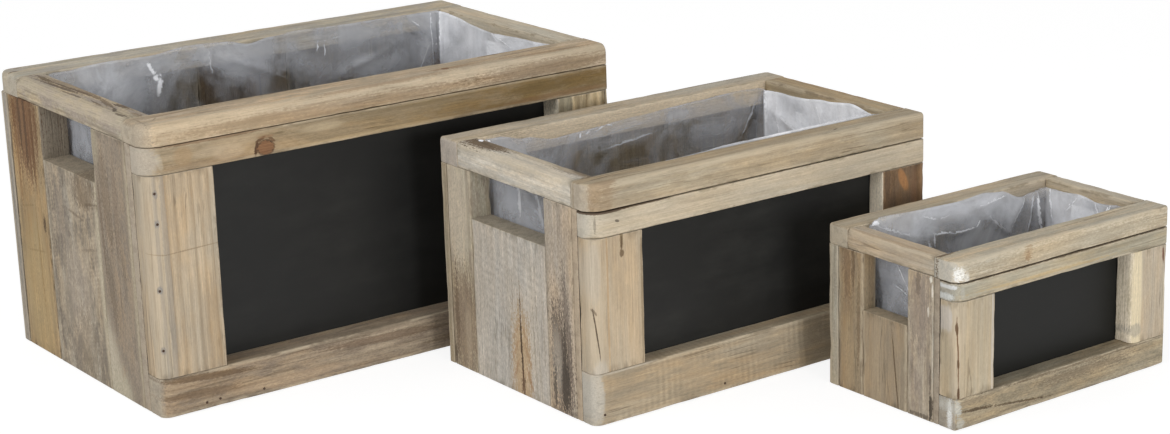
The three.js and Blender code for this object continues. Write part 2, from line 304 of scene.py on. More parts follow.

    # marks: stains, bands of other wood, cracks, and other darker or paler parts of a face; their edges
    # follow the fibres
    ragged = add("Math ADD", fibre, torn)
    edge = blend["mark"][0] + look["ragged"]
    for along, across, halfLength, halfWidth, lean, tone, strength, *through in look["marks"]:
        height, halfHeight = through or throughBoard
        ellipse = {
            "Vector": place,
            "Location": (along, across, height),
            "Rotation": (0, 0, math.radians(lean)),
            "Scale": (halfLength, halfWidth, halfHeight),
        }
        away = add("Mapping", ellipse, vector_type="TEXTURE")
        away = add("VectorMath LENGTH", away)
        away = add("Math MULTIPLY_ADD", ragged, look["ragged"], away)
        limits = {"Value": away, "From Min": edge + blend["mark"][1], "From Max": edge, "To Max": strength}
        inside = add("MapRange", limits, interpolation_type="SMOOTHSTEP")
        tone = add("VectorMath SCALE", {0: toLinear(tone)[:3], "Scale": shade})
        colour = add("Mix", {0: inside, 6: colour, 7: tone}, data_type="RGBA")
    if knots:
        woodDark, woodPale = (toLinear(tone) for tone in knot["wood"])
        knotWood = add("Mix", {0: fibre, 6: woodDark, 7: woodPale}, data_type="RGBA")
        colour = add("Mix", {0: knots, 6: colour, 7: knotWood}, data_type="RGBA")
        bark = add("Math SUBTRACT", knots, 0.55)
        bark = add("Math ABSOLUTE", bark)
        bark = add("MapRange", {"Value": bark, "From Min": 0.42, "From Max": 0.1, "To Max": 1.2})
        bark = add("Math MULTIPLY", bark, torn)
        colour = add("Mix", {0: bark, 6: colour, 7: toLinear(knot["bark"])}, data_type="RGBA")

    # raised late wood, furry fibres and saw ridges
    height = add("Math MULTIPLY_ADD", late, relief["late"], fibre)
    height = add("Math MULTIPLY_ADD", torn, relief["torn"] * look["rough"], height)
    height = add("Math MULTIPLY_ADD", crack, relief["crack"], height)
    if ridge:
        height = add("Math MULTIPLY_ADD", ridge, relief["saw"], height)
    bump = add("Bump", {"Height": height, "Strength": 0.75, "Distance": relief["depthMm"] * mm})
    smoothest, roughest = blend["matt"]
    matt = add("MapRange", {"Value": fibre, "To Min": smoothest, "To Max": roughest})
    finish = {"Base Color": colour, "Roughness": matt, "Normal": bump, "Specular IOR Level": 0.3}
    add("OutputMaterial", {"Surface": add("BsdfPrincipled", finish)})
    return material


# Chalkboard paint: a matt black, rolled on plywood. It gives the eye a soft, nearly black grey with a fine
# orange peel, a faint sheen at low angles and paler clouds of wiped chalk.
chalkPaint = {"dust": "#2f2f2c", "peelMm": 1.6, "cloudMm": 90, "smearMm": 16}


def chalkboardPaint(name, black, dust):
    material, add = newMaterial("rolledChalkboardPaint_" + name)
    place = inMillimetres(add)
    clouds = {"Scale": 1 / chalkPaint["cloudMm"], "Detail": 5.0, "Roughness": 0.55}
    smear = {"Scale": 1 / chalkPaint["smearMm"], "Detail": 6.0, "Roughness": 0.7}
    wiped = add("VectorMath MULTIPLY", place, (0.3, 1, 1))
    smear = add("TexNoise", {"Vector": wiped, **smear})
    dusty = add("Math MULTIPLY", add("TexNoise", {"Vector": place, **clouds}), smear)
    dusty = add("MapRange", {"Value": dusty, "From Min": 0.2, "From Max": 0.45, "To Max": dust})
    colour = add("Mix", {0: dusty, 6: toLinear(black), 7: toLinear(chalkPaint["dust"])}, data_type="RGBA")
    peel = add("TexNoise", {"Vector": place, "Scale": 1 / chalkPaint["peelMm"], "Detail": 2.0})
    bump = add("Bump", {"Height": peel, "Strength": 0.3, "Distance": 0.1 * mm})
    matt = add("MapRange", {"Value": smear, "To Min": 0.4, "To Max": 0.6})
    finish = {"Base Color": colour, "Roughness": matt, "Normal": bump, "Specular IOR Level": 0.22}
    add("OutputMaterial", {"Surface": add("BsdfPrincipled", finish)})
    return material


# Polythene film, blown, about 0.15 mm. One layer is milky and see-through; where it is folded into more
# layers or creased it turns white. The white creases are also painted highlights where light glints on the
# film, and the right walls are whitened as painted light. The sheet is modelled with two faces, so each
# face carries half of its cover.
film = {
    "milk": "#c4c8d0",
    "whiteAndHighlight": "#fafbff",
    "oneLayer": 0.07,
    "foldedAndLit": 0.85,
    "patchMm": 55,
    "crinkleMm": 7,
    "foldedMm": 24,  # the parts that hold fine folds
}


def polytheneFilm(name, creases):
    material, add = newMaterial("blownPolytheneFilm_" + name)
    place = inMillimetres(add)
    layers = add("Attribute", attribute_name="layers").outputs["Fac"]
    patches = {"Scale": 1 / film["patchMm"], "Detail": 6.0, "Roughness": 0.62, "Distortion": 0.6}
    crinkle = {"Scale": 1 / film["crinkleMm"], "Detail": 5.0, "Roughness": 0.6, "Distortion": 1.5}
    patches = add("TexNoise", {"Vector": place, **patches})
    limits = {"Value": patches, "From Min": 0.36, "From Max": 0.66, "To Min": -0.1, "To Max": 0.2}
    patches = add("MapRange", limits, interpolation_type="SMOOTHSTEP")
    crinkle = add("TexNoise", {"Vector": place, **crinkle})
    # fine white creases where the film was folded sharply, also painted highlights: the noise passes through
    # its middle value there
    fold = add("Math SUBTRACT", crinkle, 0.5)
    fold = add("Math ABSOLUTE", fold)
    fold = add("MapRange", {"Value": fold, "From Min": 0.016, "From Max": 0.0})
    where = {"Vector": place, "Scale": 1 / film["foldedMm"], "Detail": 3.0, "Roughness": 0.6}
    where = {"Value": add("TexNoise", where), "From Min": 0.52, "From Max": 0.68, "To Max": 0.5}
    whiteAndHighlight = add("Math MULTIPLY", fold, add("MapRange", where))
    height = add("Math MULTIPLY_ADD", fold, 0.5, crinkle)
    bend = add("MapRange", {"Value": crinkle, "To Min": -3.0, "To Max": 3.0})
    bent = add("VectorMath ADD", place, bend)
    # the listed creases: whiter film where it was creased, and painted highlights where light glints on it
    for middle, turn, halfLength, halfWidth, strength in creases:
        ellipse = {
            "Vector": bent,
            "Location": middle,
            "Rotation": [math.radians(angle) for angle in turn],
            "Scale": (halfLength, 15.0, halfWidth),
        }
        away = add("Mapping", ellipse, vector_type="TEXTURE")
        away = add("VectorMath LENGTH", away)
        away = add("Math MULTIPLY_ADD", crinkle, 1.6, away)
        limits = {"Value": away, "From Min": 2.1, "From Max": 1.3, "To Max": strength}
        inside = add("MapRange", limits, interpolation_type="SMOOTHSTEP")
        whiteAndHighlight = add("Math MAXIMUM", whiteAndHighlight, inside)
    # toward white where the film is folded or creased, and where painted light and painted highlights lie
    whiterAndLit = add("Math MAXIMUM", layers, whiteAndHighlight)
    tones = {0: whiterAndLit, 6: toLinear(film["milk"]), 7: toLinear(film["whiteAndHighlight"])}
    cover = add("MapRange", {"Value": layers, "To Min": film["oneLayer"], "To Max": film["foldedAndLit"]})
    cover = add("Math ADD", cover, patches)
    cover = add("Math MAXIMUM", cover, whiteAndHighlight, use_clamp=True)
    bump = add("Bump", {"Height": height, "Strength": 0.5, "Distance": 1.2 * mm})
    plastic = {"Base Color": add("Mix", tones, data_type="RGBA"), "Roughness": 0.25, "IOR": 1.51}
    plastic = add("BsdfPrincipled", {**plastic, "Alpha": cover, "Normal": bump})
    add("OutputMaterial", {"Surface": plastic})
    return material


# Nails: drawn steel wire, rusted dark by the weather. They give the eye small dark dots.
def rustedSteel():
    material, add = newMaterial("rustedSteelNail")
    spots = add("TexNoise", {"Vector": inMillimetres(add), "Scale": 1 / 0.9, "Detail": 3.0})
    colour = add("Mix", {0: spots, 6: toLinear("#2b2521"), 7: toLinear("#5a4131")}, data_type="RGBA")
    matt = add("MapRange", {"Value": spots, "To Min": 0.45, "To Max": 0.8})
    steel = add("BsdfPrincipled", {"Base Color": colour, "Metallic": 0.6, "Roughness": matt})
    add("OutputMaterial", {"Surface": steel})
    return material


def newMesh(name, vertices, faces, sharpDegrees=None, **attributes):
    # a smooth mesh; each attribute has one value for every vertex
    mesh = bpy.data.meshes.new(name)
    mesh.from_pydata(vertices, [], faces)
    for attribute, values in attributes.items():
        mesh.attributes.new(attribute, "FLOAT", "POINT").data.foreach_set("value", values)
    mesh.shade_smooth()
    if sharpDegrees:
        mesh.set_sharp_from_angle(angle=math.radians(sharpDegrees))
    mesh.update()
    return mesh


def bandFaces(start, bands, around, turned=False):
    # the faces between rings of points, from the point with the number start on
    faces = []
    for ring in range(start, start + bands * around, around):
        for i in range(around):
            a, b = ring + i, ring + (i + 1) % around
            faces.append((a, a + around, b + around, b) if turned else (a, b, b + around, a + around))
    return faces


cut = {
    "arcSteps": 4,  # over each long edge
    "endSteps": 8,  # over each rounded end
    "facePitchMm": 11,
    "ringPitchMm": 7,
    "mergeMm": 0.08,  # rings that lie closer are one
    "nearArrisMm": 2.5,
    "fullest": 0.48,  # an edge's largest radius, as a share of the thickness
    "endMm": 0.7,  # rounding of the sawn ends
    "endJointMm": 1.5,  # how far dirt comes up from the ends
    "sharpMm": 2.6,  # edges with a smaller radius gather dirt
    "sharpDegrees": 38,
    "chips": 4,  # on each long edge
    "chipLengthMm": (3, 9),
    "chipDepthMm": (0.4, 1.5),
    "unevenArris": 0.35,
    "dipMm": (0.05, 0.22, 0.05),  # what the faces have lost: everywhere, in waves, in fine waves
    "arrisWaves": 28,  # per metre
    "waves": (14, 30),  # per metre along and across
    "fineWaves": (70, 160),
    "seamMm": 0.13,  # what each board of the frame and the rim has shrunk back from its neighbours
    "tightMm": -0.2,  # the upright boards of the walls are pressed together, so that no light comes through
}


def sectionPoints(low, high, radii, faceCounts):
    # the section of a board, as points across (y) and through (z) it, each with its outward direction, how
    # much it is rubbed, and whether it lies on a sharp edge, where dirt gathers
    points, arcs = [], []
    limit = cut["fullest"] * min(high[0] - low[0], high[1] - low[1])
    for corner, (signY, signZ) in enumerate(((-1, -1), (1, -1), (1, 1), (-1, 1))):
        radius = min(radii[corner], limit)
        centreY = high[0] - radius if signY > 0 else low[0] + radius
        centreZ = high[1] - radius if signZ > 0 else low[1] + radius
        sharp = 1.0 if radius < cut["sharpMm"] * mm else 0.0
        arc = []
        for step in range(cut["arcSteps"] + 1):
            angle = math.pi * (1 + 0.5 * corner + 0.5 * step / cut["arcSteps"])
            out = (math.cos(angle), math.sin(angle))
            arc.append((centreY + radius * out[0], centreZ + radius * out[1], out, 1.0, sharp))
        arcs.append(arc)
    for corner, arc in enumerate(arcs):
        points += arc
        begin, end = arc[-1], arcs[(corner + 1) % 4][0]
        run = math.dist(begin[:2], end[:2])
        near = min(cut["nearArrisMm"] * mm / max(run, 1e-9), 0.3)
        parts = faceCounts[corner] + 1
        for i in range(parts + 1):
            share = near + (1 - 2 * near) * i / parts
            y = begin[0] + share * (end[0] - begin[0])
            z = begin[1] + share * (end[1] - begin[1])
            points.append((y, z, begin[2], 0.0, 0.0))
    return points


def cornerShift(radius, distance):
    # how far a rounded corner draws the side in, at this distance from the board's end
    if distance >= radius:
        return 0.0
    return radius - math.sqrt(max(radius**2 - (radius - distance) ** 2, 0.0))


def ringPlaces(length, rounds):
    # where the board's sections lie: close together over its rounded ends, evenly spaced between them
    ends, steps = cut["endMm"] * mm, cut["endSteps"]
    along = set()
    for end in ("start", "end"):
        biggest = max([ends] + [radius for place, _, radius in rounds if place == end])
        for radius in (ends, biggest):
            for step in range(steps + 1):
                distance = radius * (1 - math.cos(0.5 * math.pi * step / steps))
                along.add(round(distance if end == "start" else length - distance, 6))
    inner = max([ends] + [radius for _, _, radius in rounds])
    count = max(2, round((length - 2 * inner) / (cut["ringPitchMm"] * mm)))
    along |= {round(inner + (length - 2 * inner) * i / count, 6) for i in range(count + 1)}
    along = sorted(x for x in along if 0 <= x <= length)
    return [x for i, x in enumerate(along) if i == 0 or x - along[i - 1] > cut["mergeMm"] * mm]


def boardMesh(name, size, arrises, rounds, rough, seed):
    # size: length, width, thickness. arrises: radius of each long edge, at its start and its end.
    # rounds: (start or end, side, radius) for corners that are rounded more than the rest.
    length, width, thickness = size
    rng = random.Random(seed)
    ends, pitch = cut["endMm"] * mm, cut["facePitchMm"] * mm
    faceCounts = [max(0, round(run / pitch) - 1) for run in (width, thickness, width, thickness)]
    chips = []
    for _ in arrises:
        chips.append([])
        for _ in range(cut["chips"]):
            at, span = rng.uniform(0, length), rng.uniform(*cut["chipLengthMm"]) * mm
            chips[-1].append((at, span, rng.uniform(*cut["chipDepthMm"]) * mm))
    (alongWaves, acrossWaves), (alongFine, acrossFine) = cut["waves"], cut["fineWaves"]
    base, broadDip, fineDip = cut["dipMm"]
    vertices, wear, joint = [], [], []
    along = ringPlaces(length, rounds)
    for x in along:
        toEnd = min(x, length - x)
        shifts = dict.fromkeys(("yLow", "yHigh", "zLow", "zHigh"), cornerShift(ends, toEnd))
        for place, side, radius in rounds:
            distance = x if place == "start" else length - x
            shifts[side] = max(shifts[side], cornerShift(radius, distance))
        low = (shifts["yLow"], shifts["zLow"])
        high = (width - shifts["yHigh"], thickness - shifts["zHigh"])
        radii = []
        for corner, (startRadius, endRadius) in enumerate(arrises):
            uneven = noise.noise(Vector((x * cut["arrisWaves"], seed * 1.7, corner * 5.3)))
            radius = startRadius + (endRadius - startRadius) * x / length
            radius *= 1 + cut["unevenArris"] * uneven
            for at, span, depth in chips[corner]:
                radius += depth * rough * math.exp(-(((x - at) / span) ** 2))
            radii.append(radius)
        for y, z, out, worn, sharp in sectionPoints(low, high, radii, faceCounts):
            wave = Vector((x * alongWaves, y * acrossWaves + seed * 3.1, z * acrossWaves))
            fine = noise.noise(Vector((x * alongFine, y * acrossFine, z * acrossFine + seed)))
            broad = 0.5 + 0.5 * noise.noise(wave)
            dip = (base + broadDip * rough * broad + fineDip * rough * fine) * mm
            vertices.append((x, y - dip * out[0], z - dip * out[1]))
            wear.append(1.0 if toEnd < ends * 0.9 else worn)
            joint.append(1.0 if toEnd < cut["endJointMm"] * mm else sharp)
    ring = len(vertices) // len(along)
    last = len(vertices) - ring
    faces = bandFaces(0, len(along) - 1, ring)
    faces += [tuple(reversed(range(ring))), tuple(range(last, last + ring))]
    return newMesh(name, vertices, faces, cut["sharpDegrees"], wear=wear, joint=joint)


def boardPlace(low, high, along, face):
    # the matrix that lays a board's length, width and thickness along the row frame's axes, and its size
    across = face.cross(along)
    directions = (along, across, face)
    total = along + across + face
    place = Matrix(directions).transposed().to_4x4()
    place.translation = [low[axis] if total[axis] > 0 else high[axis] for axis in range(3)]
    return place, [abs(direction.dot(high - low)) for direction in directions]


up, down = Vector((0, 0, 1)), Vector((0, 0, -1))
right, left = Vector((1, 0, 0)), Vector((-1, 0, 0))
back, front = Vector((0, 1, 0)), Vector((0, -1, 0))
lies = {  # the part of a node's name that says how its board lies: its length, and the face that shows
    "rim_front": (right, up),
    "rim_back": (right, up),
    "rim_left": (back, up),
    "rim_right": (back, up),
    "top_rail": (right, front),
    "bottom_rail": (right, front),
    "stile": (down, front),
    "chalkboard": (right, front),
    "left_slat": (down, left),
    "right_slat": (down, right),
    "back_board": (down, back),
    "bottom_panel": (right, up),
}

# What each planter's boards look like, where it differs from pineDefaults. Upright boards are measured down
# from their top and from left to right as seen from outside; lying boards from their left end and from their
# lower or front edge.
largeBoards = {
    "rim_front": {
        "tones": ("#c7b398", "#9c8362", "#ae9d84"), "ring": 9, "heart": (70, -40), "weathering": 0.75,
        "streaks": 0.45, "flecks": 0.5, "ragged": 0.6, "rough": 0.45, "knots": ((322, 17, 3.5),),
        "marks": (
            (388, 37, 18, 0.9, 4, "#382c20", 0.9), (330, 17, 34, 4, 0, "#8d6d47", 0.5),
            (40, 30, 30, 1.0, 8, "#68553d", 0.7), (60, 3, 90, 4, 0, "#d0b998", 0.5),
            (9, 20, 16, 1.0, 86, "#77634b", 0.6), (250, 6, 80, 3, 1, "#927454", 0.45),
            (440, 12, 50, 4, -2, "#886d4a", 0.5), (200, 33, 60, 1.4, 1, "#866c50", 0.55),
            # the marks at across 0, set within the thickness, darken the lower front face against the top
            (420, 28, 30, 1.6, 3, "#745b41", 0.6), (190, 0, 170, 6, 0, "#8d7352", 0.4, 6, 8),
            (430, 0, 90, 5, 0, "#816748", 0.45, 8, 8), (120, 36, 60, 2, 1, "#725c41", 0.55),
            (5, 10, 9, 12, 0, "#a89b88", 0.6), (12, 30, 12, 4, 20, "#a3947e", 0.55),
            (24, 22, 6, 0.9, 50, "#7c6950", 0.6),
        ),
    },
    "rim_left": {
        "tones": ("#bdb097", "#96856b", "#a39789"), "rings": 0.4, "ring": 6, "weathering": 0.85,
        "streaks": 0.6, "flecks": 0.6, "ragged": 0.7, "rough": 0.7,
        "marks": (
            (150, 5, 60, 7, 4, "#867258", 0.6), (198, -5, 8, 2.2, 4, "#4b3c30", 0.9),
            (40, 3, 20, 4, 0, "#8a775e", 0.6), (37, 15, 8, 2.2, -20, "#47392b", 0.85),
            (46, 4, 14, 3, 8, "#534131", 0.8), (62, 10, 20, 3, -8, "#644f39", 0.7),
            (14, 19, 12, 2, 4, "#544432", 0.75), (130, 8, 50, 2, 2, "#534131", 0.75),
            (100, 6, 34, 3, 0, "#725d45", 0.6), (8, 8, 10, 3, 0, "#776147", 0.6),
            (160, 14, 46, 2.2, 3, "#514030", 0.8), (196, 10, 22, 3, -4, "#594731", 0.75),
            (120, 18, 24, 1.6, 2, "#5d4c39", 0.7), (72, 16, 14, 1.4, -6, "#604c38", 0.7),
        ),
    },
    "rim_right": {"tones": ("#d7c9b0", "#a6906f", "#bdb29e"), "ring": 6},
    "rim_back": {
        "tones": ("#c6bca8", "#9b8e75", "#aba499"), "rings": 0.4, "ring": 7, "weathering": 0.6,
        "streaks": 0.5, "rough": 0.5,
        "marks": (
            (8, 24, 6, 1.2, 10, "#534436", 0.85), (18, 36, 5, 1.0, 0, "#5e4d37", 0.7),
            (120, 40, 60, 1.2, 0, "#77664f", 0.5), (210, 8, 60, 2.0, 1, "#88775e", 0.5),
        ),
    },
    "top_rail": {
        "tones": ("#af9a7b", "#806a47", "#907f64"), "rings": 0.35, "ring": 7, "heart": (60, -30),
        "weathering": 0.5, "streaks": 0.4, "far": "#7e6a45", "knots": ((119, 7.5, 8.8),),
        "marks": (
            (178, 17, 24, 4, 0, "#b7a587", 0.6), (88, 18, 26, 5, 0, "#b8a385", 0.5),
            (240, 3, 90, 2, 0, "#b69e78", 0.5), (440, 5, 70, 3, 0, "#856644", 0.55),
            (60, 4, 50, 5, 0, "#8f7455", 0.4), (430, 16, 60, 6, 3, "#675431", 0.45),
            (2, 13, 13, 15, 0, "#b4aa9b", 0.75), (15, 12, 3, 9, 12, "#c3b9a6", 0.35),
            (62, 13, 17, 5, 0, "#b8a58a", 0.5), (82, 10, 17, 7, 0, "#bfa98c", 0.5),
            (68, 24.5, 55, 1.8, 0, "#775a3e", 0.65), (38, 14, 10, 9, 0, "#a98d69", 0.5),
            (109.6, 8, 2.0, 7, -14, "#3f2514", 0.9), (114, 15.6, 6, 1.5, 22, "#4f311c", 0.8),
            (125.5, 14.2, 4.5, 1.6, -38, "#5c3d26", 0.7), (119, 17.5, 9, 1.6, 0, "#8d6a4c", 0.5),
        ),
    },
    "bottom_rail": {
        "tones": ("#af9b81", "#746049", "#8b7c6b"), "heart": (-40, -20), "weathering": 0.65, "streaks": 0.6,
        "flecks": 0.7, "rough": 0.6,
        "marks": (
            (46, 31, 50, 3.4, -4, "#69533b", 0.75), (40, 16, 40, 4, -3, "#7b644b", 0.6),
            (130, 9, 60, 5, 0, "#baa285", 0.5), (230, 26, 70, 4, -2, "#735e4c", 0.6),
            (330, 12, 60, 4, 2, "#7a6651", 0.6),
        ),
    },
    "left_stile": {
        "tones": ("#bdac93", "#99866c", "#a59987"), "worn": "#baad98", "rings": 0.8, "ring": 8,
        "heart": (-62, -10), "lean": (0.0, 0.01), "wander": 2, "weathering": 0.25, "streaks": 0.12,
        "flecks": 0.25, "rough": 0.2,
        "marks": (
            (95, 15, 140, 3.2, 0, "#9c9488", 0.6), (95, 8, 140, 1.8, 0, "#a2988a", 0.5),
            (71.5, 40, 0.7, 30, 2, "#87755b", 0.6), (71.5, 8, 0.6, 8, -8, "#87755b", 0.5),
            (10, 30, 12, 12, 0, "#ac9c85", 0.4), (43, 8.7, 4, 2.2, 0, "#898684", 0.6),
            (16, 9, 4, 2.2, 0, "#898684", 0.5), (104, 6.5, 4, 2.2, 0, "#858380", 0.7),
            (160, 5, 4, 2.2, 0, "#898684", 0.5),
        ),
    },
    "right_stile": {
        # the near-white side is painted light on the stile's shaded inner side, beside the chalkboard
        "tones": ("#e3d0ab", "#8d7855", "#ada088"), "side": "#fbf1dc", "rings": 0.95, "ring": 9,
        "heart": (-64, -15), "wander": 3, "weathering": 0.25,
        "marks": ((8, 8, 18, 9, 0, "#8f8976", 0.7), (95, 56.5, 120, 0.8, 0, "#342d23", 0.9)),
    },
    "left_slat_rear": {
        "tones": ("#b19770", "#7d6442", "#958365"), "side": "#958b7c", "ring": 6, "heart": (30, -40),
        "weathering": 0.4, "streaks": 0.5, "flecks": 0.7, "grime": 0.9, "ragged": 0.8, "rough": 0.6,
        "wear": 0.2,
        "marks": (
            (22, 34, 58, 30, 0, "#6f4e33", 0.85), (22, 24, 40, 3, 1, "#533d27", 0.8),
            (30, 36, 46, 3.5, -1, "#503925", 0.75), (40, 50, 50, 3, 0, "#624427", 0.75),
            (24, 60, 34, 3, 0, "#67472a", 0.7), (60, 14, 60, 3, 1, "#83623d", 0.6),
            (14, 12, 20, 5, 0, "#67472a", 0.7), (50, 42, 40, 2, 0, "#694a2f", 0.7),
            (116, 61, 9, 3, 0, "#493725", 0.85), (190, 35, 80, 28, 0, "#b9a276", 0.5),
            (150, 44, 70, 1.2, 1, "#8c6e42", 0.5), (125, 0.6, 140, 1.5, 0, "#2d241a", 0.9),
            (105, 26, 1.2, 18, 12, "#8a7450", 0.5), (148, 36, 1.2, 20, 8, "#8a7450", 0.45),
        ),
    },
    "left_slat_middle": {
        "tones": ("#b0a491", "#92836d", "#82786a"), "end": "#8b806e", "rings": 0.08, "ring": 8,
        "weathering": 0.6, "patchMm": (26, 12), "streaks": 0.1, "flecks": 0.5, "fibre": 0.22, "patchy": 0.9,
        "bands": 0.2, "ragged": 0.9, "rough": 0.9, "sawn": 0.5, "sawPitch": 4.2, "sawSlope": 0.3,
        "marks": (
            (110, 112, 130, 9, 0, "#c1b69e", 0.7), (14, 84, 20, 24, 0, "#7b6952", 0.65),
            (50, 30, 46, 18, 4, "#897d70", 0.5), (120, 56, 50, 26, 0, "#b0a394", 0.45),
            (170, 70, 40, 20, 8, "#958670", 0.5), (90, 8, 90, 4, 2, "#7b6f5f", 0.5),
            (24, 96, 1.5, 14, 10, "#62523f", 0.6), (40, 60, 1.5, 20, -8, "#71614d", 0.5),
            (70, 84, 1.5, 18, 12, "#7d6e5d", 0.5), (180, 40, 26, 12, 0, "#8e8273", 0.45),
        ),
    },
    "left_slat_front": {
        "tones": ("#a0907c", "#7d6e59", "#928575"), "rings": 0.12, "ring": 8, "weathering": 0.8,
        "patchMm": (20, 10), "streaks": 0.18, "flecks": 0.5, "patchy": 0.6, "bands": 0.3, "ragged": 0.9,
        "rough": 0.9,
        "marks": (
            (224, -2, 90, 28, 25, "#c0b5a0", 0.95), (252, 24, 30, 22, 24, "#bbb19b", 0.9),
            (14, 6, 20, 8, 0, "#aba089", 0.7), (130, 65, 140, 3.6, 0, "#b4a890", 0.7),
            (90, 8, 60, 2.5, 2, "#756451", 0.6), (70, 40, 50, 5, -2, "#857360", 0.5),
            (90, 30, 1.4, 12, 8, "#837463", 0.5), (130, 50, 1.4, 12, -6, "#837463", 0.5),
            (60, 20, 50, 10, 4, "#776652", 0.5), (150, 18, 40, 7, 6, "#716250", 0.5),
        ),
    },
    "back_board": {
        "tones": ("#a49b8e", "#827765", "#938c81"), "weathering": 0.6, "streaks": 0.5, "grime": 0.15,
        "rough": 0.7, "sawn": 0.25,
    },
    "back_board_3": {
        "tones": ("#8a7963", "#5d4c3a", "#7a6c5b"), "weathering": 0.6, "streaks": 0.6, "rough": 0.7,
        "marks": ((130, 14, 200, 16, 0, "#9a8f80", 0.85), (130, 31, 200, 0.9, 0, "#2e241b", 0.9)),
    },
    "back_board_4": {
        "tones": ("#a29786", "#7d705c", "#8d8476"), "weathering": 0.6, "rough": 0.7,
        "marks": ((110, 60, 90, 16, 0, "#7f664c", 0.8), (110, 34, 120, 3, 0, "#6f5a44", 0.6)),
    },
    "chalkboard": {"tones": ("#a99b88", "#8b7c66", "#948979"), "end": "#a39686", "rings": 0.3},
}
